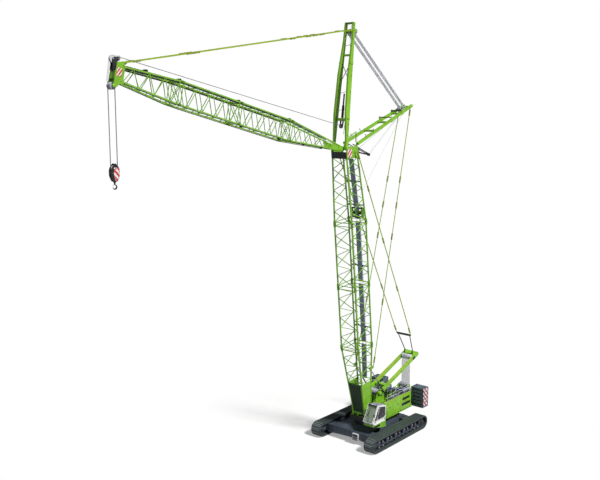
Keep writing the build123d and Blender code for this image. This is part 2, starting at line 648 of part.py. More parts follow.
def boom_foot():
    """The tapered foot section, plated on its front and sides below, with the pin ears."""
    start = 350.0
    plated = 3300.0
    members = lattice(start, BOOM_FOOT_LENGTH, BOOM_FOOT_END, BOOM_FULL, 4, BOOM_CHORD, BOOM_LACE, bare=plated)
    blocks = lugs(start, BOOM_FOOT_LENGTH, BOOM_FOOT_END, BOOM_FULL, BOOM_LUG, BOOM_LUG_LONG)[1::2]
    share = plated / (BOOM_FOOT_LENGTH - start)
    upper = between(BOOM_FOOT_END, BOOM_FULL, share)
    top = start + plated
    f0, r0, h0 = BOOM_FOOT_END
    f1, r1, h1 = upper
    plates = []
    for side in (-1, 1):
        lower_edge = [(r0, side * h0, start), (f0, side * h0, start)]
        upper_edge = [(f1, side * h1, top), (r1, side * h1, top)]
        face = make_face(Polyline(*lower_edge, *upper_edge, close=True))
        plates.append(extrude(face, amount=12, dir=(0, 1, 0), both=True))
    face = make_face(Polyline((f0, -h0, start), (f0, h0, start), (f1, h1, top), (f1, -h1, top), close=True))
    plates.append(extrude(face, amount=12, dir=(1, 0, 0), both=True))
    ears = []
    for side in (-1, 1):
        y0, y1 = sorted((side * (BOOM_EAR_OUT - BOOM_EAR_THICK), side * BOOM_EAR_OUT))
        ears.append(side_plate([(-230, 1000), (-170, -60), (0, -190), (170, -60), (230, 1000)], y0, y1))
    pin = cross_cylinder(0, 0, BOOM_PIN / 2, -LONGERON_OUT + 10, LONGERON_OUT - 10)
    tie = box(f0 - 60, f0 + 60, -h0, h0, start + 100, start + 260)
    brackets = []
    for side in (-1, 1):
        y0, y1 = sorted((side * 850, side * 1000))
        brackets.append(box(GUY_LOW[0] - 60, GUY_LOW[0] + 420, y0, y1, GUY_LOW[1] - 110, GUY_LOW[1] + 110))
        y0, y1 = sorted((side * 950, side * (GUY_HALF_LOW + 40)))
        brackets.append(cross_cylinder(GUY_LOW[0], GUY_LOW[1], EYE_BOLT / 2, y0, y1))
    return BOOM_PLACE * weld(members + blocks + plates + ears + [pin, tie] + brackets)


def boom_insert(number):
    z0, z1 = BOOM_JOINTS[number], BOOM_JOINTS[number + 1]
    members = lattice(z0, z1, BOOM_FULL, BOOM_FULL, 6, BOOM_CHORD, BOOM_LACE)
    return BOOM_PLACE * weld(members + lugs(z0, z1, BOOM_FULL, BOOM_FULL, BOOM_LUG, BOOM_LUG_LONG))


def jib_pin():
    """The jib pin in the boom's own frame (x, z)."""
    lean = radians(BOOM_LEAN)
    x = JIB_PIN_AHEAD * cos(lean) + JIB_PIN_DROP * sin(lean)
    z = BOOM_TOP + JIB_PIN_AHEAD * sin(lean) - JIB_PIN_DROP * cos(lean)
    return x, z


def boom_head():
    """The head section: two deep cheeks on a slightly tapered lattice, and the ears for jib and rear strut."""
    z0 = BOOM_JOINTS[2]
    z1 = BOOM_TOP - BOOM_LATTICE_SHORT
    members = lattice(z0, z1, BOOM_FULL, BOOM_TOP_END, 6, BOOM_CHORD, BOOM_LACE)
    blocks = lugs(z0, z1, BOOM_FULL, BOOM_TOP_END, BOOM_LUG, BOOM_LUG_LONG)[0::2]
    px, pz = jib_pin()
    rx, rz = REAR_STRUT_FOOT[0], BOOM_TOP + REAR_STRUT_FOOT[1]
    f1, r1, h1 = BOOM_TOP_END
    cheek = side_plate([(r1 - 50, BOOM_TOP - 1230), (f1 + 60, BOOM_TOP - 1020), (f1 + 60, pz + 60), (px + 40, pz + 130),
                        (px - 120, BOOM_TOP - 20), (-100, BOOM_TOP - 110), (r1 - 50, BOOM_TOP - 240)], h1, h1 + CHEEK)
    cheek -= cross_cylinder(px, pz, JIB_PIN / 2 + PIN_GAP, h1 - 1, h1 + CHEEK + 1)
    stub = cross_cylinder(PENDANT_TOP[0], PENDANT_TOP[1], EYE_BOLT / 2, h1 + CHEEK / 2, PENDANT_HALF_TOP + 50)
    ear_out = REAR_STRUT_BASE / 2 - STRUT_WIDE / 2 - 20
    ear = side_plate([(r1 + 80, BOOM_TOP - 420), (r1 + 80, BOOM_TOP - 200), (rx + 90, rz + 90), (rx - 40, rz + 100),
                      (rx - 100, rz - 40), (r1 - 60, BOOM_TOP - 420)], ear_out - CHEEK, ear_out)
    ear -= cross_cylinder(rx, rz, STRUT_PIN / 2 + PIN_GAP, ear_out - CHEEK - 1, ear_out + 1)
    rear_beam = box(r1 - 40, r1 + 100, -h1 - 1, h1 + 1, BOOM_TOP - 430, BOOM_TOP - 290)
    low_beam = box(r1 - 40, r1 + 60, -h1 - 1, h1 + 1, BOOM_TOP - 1180, BOOM_TOP - 1060)
    return BOOM_PLACE * weld(members + blocks + both_sides(cheek) + both_sides(stub) + both_sides(ear) + [rear_beam, low_beam])


def boom_head_plate():
    """The dark cross plate between the cheeks' front edges, seated on the front chords."""
    x0 = BOOM_DEEP / 2 + BOOM_CHORD / 2 + SEAT_GAP
    half = BOOM_HEAD_WIDE / 2 - SEAT_GAP
    return BOOM_PLACE * box(x0, x0 + 40, -half, half, BOOM_TOP - 1080, BOOM_TOP - 480)


# ---------------------------------------------------------------- jib
HEAD_POINT = (BOOM_FOOT[0] + BOOM_TOP * sin(radians(BOOM_LEAN)), BOOM_FOOT[1] + BOOM_TOP * cos(radians(BOOM_LEAN)))
JIB_POINT = (HEAD_POINT[0] + JIB_PIN_AHEAD, HEAD_POINT[1] - JIB_PIN_DROP)
JIB_PLACE = along(JIB_POINT, JIB_ANGLE)
JIB_FULL = (JIB_DEEP / 2, -JIB_DEEP / 2, JIB_WIDE / 2)
JIB_FOOT_END = (JIB_FOOT_DEEP / 2, -JIB_FOOT_DEEP / 2, JIB_FOOT_WIDE / 2)
JIB_HEAD_END = (JIB_HEAD_LOW, JIB_HEAD_UP, JIB_HEAD_WIDE / 2)
JIB_JOINTS = [JIB_FOOT_LENGTH + INSERT_LENGTH * k for k in range(3)]
JIB_TOP = JIB_JOINTS[-1] + JIB_HEAD_LENGTH


def jib_foot():
    start = 320.0
    plated = 1400.0
    members = lattice(start, JIB_FOOT_LENGTH, JIB_FOOT_END, JIB_FULL, 8, JIB_CHORD, JIB_LACE, bare=plated)
    blocks = lugs(start, JIB_FOOT_LENGTH, JIB_FOOT_END, JIB_FULL, JIB_LUG, JIB_LUG_LONG)[1::2]
    f0, r0, h0 = JIB_FOOT_END
    f1, r1, h1 = between(JIB_FOOT_END, JIB_FULL, plated / (JIB_FOOT_LENGTH - start))
    top = start + plated
    plates = []
    for side in (-1, 1):
        face = make_face(Polyline((r0, side * h0, start), (f0, side * h0, start), (f1, side * h1, top),
                                  (r1, side * h1, top), close=True))
        plates.append(extrude(face, amount=10, dir=(0, 1, 0), both=True))
    ears = []
    for side in (-1, 1):
        y = side * JIB_FOOT_WIDE / 2
        ears.append(side_plate([(-210, 700), (-140, -60), (0, -150), (140, -60), (210, 700)],
                               y - JIB_EAR_THICK / 2, y + JIB_EAR_THICK / 2))
    reach = BOOM_HEAD_WIDE / 2 + CHEEK + 30
    pin = cross_cylinder(0, 0, JIB_PIN / 2, -reach, reach)
    tie = box(-60, 60, -h0, h0, start + 120, start + 240)
    return JIB_PLACE * weld(members + blocks + plates + ears + [pin, tie])


def jib_insert(number):
    z0, z1 = JIB_JOINTS[number], JIB_JOINTS[number + 1]
    members = lattice(z0, z1, JIB_FULL, JIB_FULL, 8, JIB_CHORD, JIB_LACE)
    return JIB_PLACE * weld(members + lugs(z0, z1, JIB_FULL, JIB_FULL, JIB_LUG, JIB_LUG_LONG))


HEAD_EYE_HALF = JIB_HEAD_WIDE / 2 + JIB_CHEEK / 2 + 60
HEAD_END = 24850.0          # far edge of the head's cheeks
TOP_PLATES = (120.0, 140.0)         # the guide sheaves' side plates, from the middle


def jib_head():
    """The head section with its two cheeks, which hold the hoist sheaves below and the pendants' pins above."""
    z0 = JIB_JOINTS[2]
    members = lattice(z0, JIB_LATTICE_END, JIB_FULL, JIB_HEAD_END, 7, JIB_CHORD, JIB_LACE)
    blocks = lugs(z0, JIB_LATTICE_END, JIB_FULL, JIB_HEAD_END, JIB_LUG, JIB_LUG_LONG)[0::2]
    half = JIB_HEAD_WIDE / 2
    low_x, low_z = SHEAVE_LOW
    eye_x, eye_z = HEAD_EYE
    outline = [(-650, HEAD_END), (-850, 24330), (eye_x - 70, eye_z + 20), (eye_x - 20, eye_z - 75), (-600, 24180),
               (440, 24180), (625, 24340), (930, 24600), (low_x + 110, low_z - 50), (low_x + 90, low_z + 80),
               (low_x - 20, low_z + 120), (low_x - 130, low_z + 100), (600, HEAD_END), (-150, HEAD_END)]
    cheek = side_plate(outline, half - JIB_CHEEK / 2, half + JIB_CHEEK / 2)
    cheek -= cross_cylinder(low_x, low_z, 60 + PIN_GAP, half - JIB_CHEEK, half + JIB_CHEEK)
    stub = cross_cylinder(eye_x, eye_z, EYE_BOLT / 2, half, HEAD_EYE_HALF + 40)
    ties = [box(-120, 420, -half, half, HEAD_END - 40, HEAD_END), box(-560, -440, -half, half, 24380, 24480),
            box(380, 460, -half, half, 24300, 24380)]
    return JIB_PLACE * weld(members + blocks + both_sides(cheek) + both_sides(stub) + ties)


def jib_head_bracket():
    """The bracket on the head's far edge that holds the two guide sheaves above the jib."""
    seat = HEAD_END + SEAT_GAP
    half = JIB_HEAD_WIDE / 2 + JIB_CHEEK / 2
    front = box(-560, -150, -half, half, seat, seat + 45)
    top_x, top_z = SHEAVE_TOP
    rear_x, rear_z = SHEAVE_REAR
    outline = [(-160, seat), (-160, seat + 60), (top_x + 60, top_z + 80), (top_x - 60, top_z + 80), (rear_x - 80, rear_z + 60),
               (rear_x - 80, rear_z - 80), (rear_x + 80, rear_z - 80), (-560, seat)]
    plate = side_plate(outline, *TOP_PLATES)
    for x, z in (SHEAVE_TOP, SHEAVE_REAR):
        plate -= cross_cylinder(x, z, 40 + PIN_GAP, TOP_PLATES[0] - 1, TOP_PLATES[1] + 1)
    return JIB_PLACE * weld([front] + both_sides(plate))


def jib_sheaves():
    """The lower hoist sheaves and the guide sheaves above, each row on its own shaft."""
    half = JIB_HEAD_WIDE / 2 + 50
    rows = [k * HOIST_SHEAVE_PITCH / 2 for k in (-3, -1, 1, 3)]
    sets = [sheave_row(world(JIB_PLACE, SHEAVE_LOW[0], 0, SHEAVE_LOW[1]), HOIST_SHEAVE_RADIUS, 60, half, rows)]
    for (x, z), radius in ((SHEAVE_TOP, 240.0), (SHEAVE_REAR, 180.0)):
        sets.append(sheave_row(world(JIB_PLACE, x, 0, z), radius, 40, TOP_PLATES[1], (-55.0, 55.0)))
    return sets


# ---------------------------------------------------------------- struts and mast
def world(place, x, y, z):
    """A point of a leaning frame in the crane's own frame."""
    spot = (place * Pos(x, y, z)).position
    return (spot.X, spot.Y, spot.Z)


def sheave_row(centre, radius, shaft, half, rows, toward=None):
    """Rope sheaves on one shaft, at the named distances from the middle, a corner of each facing a point."""
    x, z = centre[0], centre[2]
    facing = atan2(toward[2] - z, toward[0] - x) if toward else 0.0
    pieces = [cross_cylinder(x, z, shaft, -half, half)]
    for y in rows:
        pieces.append(cross_prism(x, z, radius, y - SHEAVE_THICK / 2, y + SHEAVE_THICK / 2, 20, facing))
    return weld(pieces)


def strut_leg(stations):
    """One leg through sections given as (height, rear edge, front edge, middle)."""
    sections = []
    for z, x0, x1, y in stations:
        sections.append(Pos((x0 + x1) / 2, y, z) * Rectangle(x1 - x0, STRUT_WIDE))
    return loft(sections, ruled=True)


def sheave_brackets():
    """One side's two plates that carry the front strut's rope sheaves, from the leg back to the shaft."""
    x, z = FRONT_SHEAVE
    plates = []
    for y0, y1 in (BRACKET_OUT, BRACKET_IN):
        plate = side_plate([(0, z - 160), (x, z - 90), (x - 90, z - 40), (x - 90, z + 40), (x, z + 90), (0, z + 160)], y0, y1)
        plates.append(plate - cross_cylinder(x, z, 40 + PIN_GAP, y0 - 1, y1 + 1))
    return plates


FRONT_PLACE = along(JIB_POINT, FRONT_STRUT_ANGLE)
REAR_FOOT_POINT = world(BOOM_PLACE, REAR_STRUT_FOOT[0], 0, BOOM_TOP + REAR_STRUT_FOOT[1])
REAR_PLACE = along((REAR_FOOT_POINT[0], REAR_FOOT_POINT[2]), REAR_STRUT_ANGLE)


def front_half(z):
    """Leg centre from the middle at a height of the front strut."""
    return (FRONT_STRUT_BASE + (FRONT_STRUT_TIP - FRONT_STRUT_BASE) * z / FRONT_STRUT_LENGTH) / 2


def rear_half(z):
    return (REAR_STRUT_BASE + (REAR_STRUT_TIP - REAR_STRUT_BASE) * z / REAR_STRUT_LENGTH) / 2


def front_strut():
    """Two deep-bellied legs that close towards the tip, their cross members and the sheaves' brackets."""
    edge = STRUT_DEEP / 2
    edges = [(0, edge), (600, edge), (3000, FRONT_BELLY), (6500, FRONT_BELLY), (9500, edge), (FRONT_STRUT_LENGTH, edge)]
    leg = strut_leg([(z, -edge, front, front_half(z)) for z, front in edges])
    y = FRONT_STRUT_BASE / 2
    foot = side_plate([(-edge, 300), (-110, -60), (0, -edge), (110, -60), (edge, 300)], y - STRUT_WIDE / 2, y + STRUT_WIDE / 2)
    eye_x, eye_z = STRUT_EYE
    stub = cross_cylinder(eye_x, eye_z, EYE_BOLT / 2, front_half(eye_z), JIB_PENDANT_HALF + 40)
    bars = []
    sheave_z = FRONT_SHEAVE[1]
    for z, deep, tall in ((2600, 90, 230), (8200, 80, 160), (sheave_z, 60, 140), (FRONT_STRUT_LENGTH - 100, 60, 120)):
        half = front_half(z)
        bars.append(box(-deep, deep, -half, half, z - tall / 2, z + tall / 2))
    pieces = bars + both_sides(leg) + both_sides(foot) + both_sides(stub)
    for plate in sheave_brackets():
        pieces += both_sides(plate)
    shape = weld(pieces)
    shape -= cross_cylinder(0, 0, JIB_PIN / 2 + PIN_GAP, -BOOM_WIDE, BOOM_WIDE)
    return FRONT_PLACE * shape


def rear_strut():
    """Two straight legs on pins in the boom head's rear ears."""
    edge = STRUT_DEEP / 2
    leg = strut_leg([(z, -edge, edge, rear_half(z)) for z in (-110, REAR_STRUT_LENGTH)])
    guy = cross_cylinder(0, GUY_PIN, EYE_BOLT / 2, rear_half(GUY_PIN), GUY_HALF_TOP + 40)
    ear_out = REAR_STRUT_BASE / 2 - STRUT_WIDE / 2 - 20
    pin = cross_cylinder(0, 0, STRUT_PIN / 2, ear_out - CHEEK - 10, REAR_STRUT_BASE / 2)
    bars = []
    for z in (3000, 5200, 7500, 9400):
        half = rear_half(z)
        bars.append(box(-80, 80, -half, half, z - 70, z + 70))
    shape = weld(bars + both_sides(leg) + both_sides(guy) + both_sides(pin))
    shape -= cross_cylinder(*REAR_SHEAVE, 40 + PIN_GAP, -BOOM_WIDE, BOOM_WIDE)
    return REAR_PLACE * shape


MAST_RUN = (MAST_HEAD[0] - MAST_FOOT[0], MAST_HEAD[1] - MAST_FOOT[1])
MAST_LENGTH = hypot(*MAST_RUN)
MAST_ANGLE = degrees(atan2(MAST_RUN[1], MAST_RUN[0]))
MAST_PLACE = along(MAST_FOOT, MAST_ANGLE)


def mast():
    """The mast that carries the luffing ropes, hinged on the revolving frame."""
    pieces = []
    ear_x, ear_z = MAST_EAR
    for side in (-1, 1):
        y = side * MAST_HALF
        pieces.append(box(-MAST_DEEP / 2, MAST_DEEP / 2, y - MAST_WIDE / 2, y + MAST_WIDE / 2, -150, MAST_LENGTH + 150))
        for inner in (LINK_HALF - 75, LINK_HALF + 70):
            ys = sorted((side * inner, side * (inner + 35)))
            ear = side_plate([(ear_x + 80, ear_z - 90), (ear_x + 80, ear_z + 90), (0, ear_z + 400), (0, ear_z - 300)],
                             ys[0], ys[1])
            pieces.append(ear)
    pieces.append(box(-120, 120, -MAST_HALF, MAST_HALF, 1150, 1400))
    pieces.append(box(-MAST_DEEP / 2, MAST_DEEP / 2, -MAST_HALF, MAST_HALF, MAST_LENGTH - 350, MAST_LENGTH + 150))
    pieces.append(cross_cylinder(0, 0, MAST_PIN / 2, -MAST_HALF, -MAST_LUG_IN + 20))
    pieces.append(cross_cylinder(0, 0, MAST_PIN / 2, MAST_LUG_IN - 20, MAST_HALF))
    shaft_x, shaft_z = MAST_SHEAVE
    shape = weld(pieces)
    shape -= cross_cylinder(shaft_x, shaft_z, 50 + PIN_GAP, -MAST_HALF - MAST_WIDE, MAST_HALF + MAST_WIDE)
    return MAST_PLACE * shape


MAST_SHEAVE_POINT = world(MAST_PLACE, MAST_SHEAVE[0], 0, MAST_SHEAVE[1])
DECK_SHEAVE_POINT = (DECK_SHEAVE[0], 0, DECK_SHEAVE[1])


def mast_sheaves():
    half = MAST_HALF + MAST_WIDE / 2 - 10
    return sheave_row(MAST_SHEAVE_POINT, SHEAVE_RADIUS, 50, half, LUFF_SHEAVES, DECK_SHEAVE_POINT)


# ---------------------------------------------------------------- pendants, guys and backstops
GUY_TOP_POINT = world(REAR_PLACE, 0, 0, GUY_PIN)
GUY_HALF_TOP = REAR_STRUT_TIP / 2 + STRUT_WIDE / 2 + 80
MAST_EAR_POINT = world(MAST_PLACE, MAST_EAR[0], 0, MAST_EAR[1])
PENDANT_TOP_POINT = world(BOOM_PLACE, PENDANT_TOP[0], 0, PENDANT_TOP[1])
PENDANT_RUN = Vector(*MAST_EAR_POINT) - Vector(*PENDANT_TOP_POINT)
BRIDLE_SHARE = 1 - BRIDLE_UP / PENDANT_RUN.length


def pendant_point(share, y):
    """A point on the line from the boom head to the mast's ears."""
    spot = Vector(*PENDANT_TOP_POINT) + PENDANT_RUN * share
    return (spot.X, y, spot.Z)


def boom_pendants():
    """The two long bars from the boom head to the bridle."""
    bars = []
    for side in (-1, 1):
        bars.append(eye_bar(pendant_point(0, side * PENDANT_HALF_TOP), pendant_point(BRIDLE_SHARE, side * PENDANT_HALF_LOW),
                            PENDANT_THICK, PENDANT_WIDE))
    return bars


def bridle():
    """The beam between the pendants' lower eyes, and the two short links down to the mast's ears."""
    half = PENDANT_HALF_LOW - PENDANT_THICK
    beam_share = BRIDLE_SHARE + 40 / PENDANT_RUN.length
    pieces = [beam(pendant_point(beam_share, -half), pendant_point(beam_share, half), BRIDLE_BEAM, 120,
                   across=(PENDANT_RUN.X, 0, PENDANT_RUN.Z))]
    pin = pendant_point(BRIDLE_SHARE, 0)
    pieces.append(cross_cylinder(pin[0], pin[2], EYE_BOLT / 2, -PENDANT_HALF_LOW - 50, PENDANT_HALF_LOW + 50))
    for side in (-1, 1):
        start = pendant_point(beam_share, side * (PENDANT_HALF_LOW - 150))
        low = pendant_point(1 + 60 / PENDANT_RUN.length, side * LINK_HALF)
        pieces.append(beam(start, low, PENDANT_THICK, PENDANT_WIDE))
    return weld(pieces)


def strut_guys():
    """The two long bars from the rear strut's tip to the boom's foot section."""
    bars = []
    for side in (-1, 1):
        top = (GUY_TOP_POINT[0], side * GUY_HALF_TOP, GUY_TOP_POINT[2])
        low = world(BOOM_PLACE, GUY_LOW[0], side * GUY_HALF_LOW, GUY_LOW[1])
        bars.append(eye_bar(top, low, 40, 80))
    return bars


BACKSTOP_TOP_POINT = world(BOOM_PLACE, BACKSTOP_TOP[0], 0, BACKSTOP_TOP[1])
BACKSTOP_RUN = (BACKSTOP_TOP_POINT[0] - BACKSTOP_FOOT[0], BACKSTOP_TOP_POINT[2] - BACKSTOP_FOOT[1])
BACKSTOP_LENGTH = hypot(*BACKSTOP_RUN)
BACKSTOP_PLACE = along(BACKSTOP_FOOT, degrees(atan2(BACKSTOP_RUN[1], BACKSTOP_RUN[0])))


def backstop_barrels():
    """The outer tubes of the boom's two telescopic backstops."""
    barrels = []
    for side in (-1, 1):
        y = side * BACKSTOP_Y
        barrel_tube = Pos(0, y, BACKSTOP_BARREL_LENGTH / 2 + 95) * Cylinder(BACKSTOP_BARREL / 2, BACKSTOP_BARREL_LENGTH - 190)
        fork = box(-70, 70, y - 70, y + 70, -80, 200) - box(-71, 71, y - 37, y + 37, -81, 140)
        pin = cross_cylinder(0, 0, 30, y - 60, y + 60)
        barrel = weld([barrel_tube, fork, pin])
        bore = Pos(0, y, BACKSTOP_BARREL_LENGTH) * Cylinder(BACKSTOP_ROD / 2 + PIN_GAP, 2 * (BACKSTOP_BARREL_LENGTH - 400))
        barrels.append(BACKSTOP_PLACE * (barrel - bore))
    return barrels


def backstop_rods():
    rods = []
    foot = 700.0
    for side in (-1, 1):
        y = side * BACKSTOP_Y
        top = BACKSTOP_LENGTH - BACKSTOP_SHORT
        rod = Pos(0, y, (foot + top) / 2) * Cylinder(BACKSTOP_ROD / 2, top - foot)
        eye = box(-55, 55, y - 30, y + 30, top - 120, top)
        rods.append(BACKSTOP_PLACE * weld([rod, eye]))
    return rods


# ---------------------------------------------------------------- ropes, hook block and hook
FALL_TOP = world(JIB_PLACE, SHEAVE_LOW[0], 0, SHEAVE_LOW[1])
BLOCK_TOP_Z = FALL_TOP[2] - FALL_LENGTH


def hoist_falls():
    """The two falls of the hoist rope, hanging plumb from the jib head's lower sheaves."""
    falls = []
    out = HOIST_SHEAVE_RADIUS + FALL_DIAMETER / 2 + SEAT_GAP
    length = FALL_LENGTH - SEAT_GAP
    for side in (-1, 1):
        x, y = FALL_TOP[0] + side * out, -side * HOIST_SHEAVE_PITCH / 2
        falls.append(Pos(x, y, FALL_TOP[2] - length / 2) * Cylinder(FALL_DIAMETER / 2, length))
    return falls


def hook_block():
    """The weighted block: two cheeks, rounded below, with the sheaves between them."""
    x, z = FALL_TOP[0], BLOCK_TOP_Z
    half = BLOCK_LENGTH / 2
    outline = [(x - half * 0.8, z), (x + half * 0.8, z), (x + half, z - 300), (x + half, z - 800),
               (x + half * 0.45, z - BLOCK_HEIGHT), (x - half * 0.45, z - BLOCK_HEIGHT), (x - half, z - 800), (x - half, z - 300)]
    body = side_plate(outline, -BLOCK_THICK / 2, BLOCK_THICK / 2)
    slots = box(x - half - 1, x + half + 1, -30, 30, z - 420, z + 1)
    bore = Pos(x, 0, z - BLOCK_HEIGHT) * Cylinder(45 + PIN_GAP, 400)
    return body - slots - bore


def hook():
    """A single forged hook on its shank, which turns in the block."""
    x, z = FALL_TOP[0], BLOCK_TOP_Z - BLOCK_HEIGHT
    shank = Pos(x, 0, z + 20) * Cylinder(45, 300)
    collar = Pos(x, 0, z - 50) * Cylinder(80, 80)
    r0, r1 = 95.0, 205.0
    centre = z - 330
    bowl = Pos(x, 0, centre) * Rot(90, 0, 0) * (Cylinder(r1, HOOK_THICK) - Cylinder(r0, HOOK_THICK))
    mouth = box(x + 20, x + r1 + 20, -HOOK_THICK, HOOK_THICK, centre + 10, centre + r1 + 20)
    neck = box(x - 60, x + 60, -HOOK_THICK / 2, HOOK_THICK / 2, centre + r0 + 20, z - 60)
    return weld([shank, collar, bowl - mouth, neck])


FRONT_SHEAVE_POINT = world(FRONT_PLACE, FRONT_SHEAVE[0], 0, FRONT_SHEAVE[1])
REAR_SHEAVE_POINT = world(REAR_PLACE, REAR_SHEAVE[0], 0, REAR_SHEAVE[1])


def strut_sheaves(centre, toward, rows, half):
    """The rope sheaves at the head of one strut, on a shaft of the named half length."""
    spots = [side * y for side in (-1, 1) for y in rows]
    return sheave_row(centre, STRUT_SHEAVE_RADIUS, 40, half, spots, toward)


def rope_band(start, end, radius0, radius1, wide, y):
    """A flat band of ropes between two rows of sheaves."""
    start, end = Vector(start[0], y, start[2]), Vector(end[0], y, end[2])
    run = (end - start).normalized()
    start, end = start + run * (radius0 + SEAT_GAP), end - run * (radius1 + SEAT_GAP)
    return beam((start.X, start.Y, start.Z), (end.X, end.Y, end.Z), wide, ROPE_BAND)


def strut_reeving():
    """The two bands of rope between the heads of the struts."""
    radius = STRUT_SHEAVE_RADIUS
    return [rope_band(FRONT_SHEAVE_POINT, REAR_SHEAVE_POINT, radius, radius, BAND_WIDE, side * BAND_HALF)
            for side in (-1, 1)]


def luffing_reeving():
    """The rope band between the mast head and the deck's lower sheaves."""
    return rope_band(DECK_SHEAVE_POINT, MAST_SHEAVE_POINT, SHEAVE_RADIUS, SHEAVE_RADIUS, LUFF_WIDE, 0)


def jib_pendants():
    """The two bars from the front strut's head to the jib head."""
    bars = []
    for side in (-1, 1):
        start = world(FRONT_PLACE, STRUT_EYE[0], side * JIB_PENDANT_HALF, STRUT_EYE[1])
        end = world(JIB_PLACE, HEAD_EYE[0], side * HEAD_EYE_HALF, HEAD_EYE[1])
        bars.append(eye_bar(start, end, 40, 80))
    return bars


def walkway(place, spans, lace, half, thick):
    """Grating strips up the middle of a lattice's rear face, one to each span (z and x of its two ends)."""
    strips = []
    for z0, x0, z1, x1 in spans:
        tilt = atan2(x1 - x0, z1 - z0)
        shift = lace / 2 * (cos(tilt) + abs(sin(tilt))) + SEAT_GAP + thick / 2
        dx, dz = -shift * cos(tilt), shift * sin(tilt)
        strips.append(place * beam((x0 + dx, 0, z0 + dz), (x1 + dx, 0, z1 + dz), 2 * half, thick))
    return strips


def straight_spans(joints, deep, chord):
    """The spans of the sections between the named joints, whose rear face is parallel to the axis."""
    inset = 1.5 * chord - 40
    return [(z0 + inset, -deep / 2, z1 - inset, -deep / 2) for z0, z1 in zip(joints, joints[1:])]


def boom_walkway():
    def rear_x(z, z0, first, z1, last):
        return first[1] + (last[1] - first[1]) * (z - z0) / (z1 - z0)

    inset = 1.5 * BOOM_CHORD - 40
    foot = (350.0, BOOM_FOOT_END, BOOM_FOOT_LENGTH, BOOM_FULL)
    head = (BOOM_JOINTS[2], BOOM_FULL, BOOM_TOP - BOOM_LATTICE_SHORT, BOOM_TOP_END)
    spans = straight_spans(BOOM_JOINTS, BOOM_DEEP, BOOM_CHORD)
    for (z0, z1), section in (((3700.0, BOOM_FOOT_LENGTH - inset), foot), ((BOOM_JOINTS[2] + inset, BOOM_TOP - 1320), head)):
        spans.append((z0, rear_x(z0, *section), z1, rear_x(z1, *section)))
    return walkway(BOOM_PLACE, spans, BOOM_LACE, 230, 40)


def jib_walkway():
    return walkway(JIB_PLACE, straight_spans(JIB_JOINTS, JIB_DEEP, JIB_CHORD), JIB_LACE, 180, 35)


def deck_sheaves():
    """The lower sheaves of the luffing reeving, in their bracket at the deck's rear."""
    return sheave_row(DECK_SHEAVE_POINT, SHEAVE_RADIUS, 50, BRACKET_HALF + 10, LUFF_SHEAVES, MAST_SHEAVE_POINT)


def sheave_bracket():
    x, z = DECK_SHEAVE
    plates = []
    for side in (-1, 1):
        y = side * BRACKET_HALF
        plate = side_plate([(DECK_REAR + 500, DECK_TOP + SEAT_GAP), (DECK_REAR + 500, z - 600), (x + 150, z + 130),
                            (x - 150, z + 130), (x - 240, z - 100), (x - 100, z - 380),
                            (DECK_REAR + 10, DECK_TOP + SEAT_GAP)], y - 20, y + 20)
        plates.append(plate - cross_cylinder(x, z, 50 + PIN_GAP, y - 21, y + 21))
    return plates


# ---------------------------------------------------------------- build and write
def write(name, shape):
    """Writes one sub-part, a solid or a list of solids that do not touch."""
    solids = []
    for piece in shape if isinstance(shape, list) else [shape]:
        solids += piece.solids()
    solid = solids[0] if len(solids) == 1 else Compound(children=solids)
    solid.label = name
    export_step(solid, f"parts/{name}.step")


def build_undercarriage():
    left = track_loop()
    write("track_left", left)
    write("track_right", mirrored(left))
    frame = crawler_frame()
    write("crawler_frame_left", frame)
    write("crawler_frame_right", mirrored(frame))
    write("drive_sprockets", both_sides(toothed_wheel(-TRACK_HALF_BASE)))
    write("idler_wheels", both_sides(plain_wheel(TRACK_HALF_BASE)))
    rollers = bottom_rollers()
    write("track_rollers", rollers + [mirrored(r) for r in rollers])
    write("car_body", car_body())
    write("slewing_ring_lower", slewing_ring(BODY_TOP, BODY_TOP + RING_LOWER, RING_OUTER))
    write("boarding_step", step())


def build_upper():
    z1 = DECK_BOTTOM
    write("slewing_ring_upper", slewing_ring(z1 - RING_UPPER, z1, RING_OUTER - 120))
    write("revolving_frame", revolving_frame())
    panel = side_panel()
    write("side_panel_left", panel)
    write("side_panel_right", mirrored(panel))
    write("counterweight_tray", counterweight_tray())
    stack = counterweight_stack()
    write("counterweights_left", stack)
    write("counterweights_right", [mirrored(s) for s in stack])
    write("cab_shell", cab_shell())
    write("cab_door", cab_door())
    write("cab_seat", cab_seat())
    write("cab_platform", cab_platform())
    write("cab_glass", cab_glass())
    write("engine_block", engine_hood())
    write("tank_housing", box(-3400, -200, -1850, -1000, DECK_TOP + SEAT_GAP, 3300))
    for name, x, z, radius, half, reach in DRUMS:
        write(name, drum(x, z, radius, half, reach))
    write("deck_sheaves", deck_sheaves())
    write("sheave_bracket", sheave_bracket())
    write("backstop_barrels", backstop_barrels())
    write("backstop_rods", backstop_rods())


def build_boom():
    write("boom_foot_section", boom_foot())
    write("boom_insert_lower", boom_insert(0))
    write("boom_insert_upper", boom_insert(1))
    write("boom_head_section", boom_head())
    write("boom_head_plate", boom_head_plate())
    write("boom_walkway", boom_walkway())
    write("rear_strut", rear_strut())
    write("rear_strut_sheaves", strut_sheaves(REAR_SHEAVE_POINT, FRONT_SHEAVE_POINT, REAR_ROWS,
                                              rear_half(REAR_SHEAVE[1]) + STRUT_WIDE / 2 - 10))
    write("strut_guys", strut_guys())
    write("boom_pendants", boom_pendants())
    write("bridle", bridle())


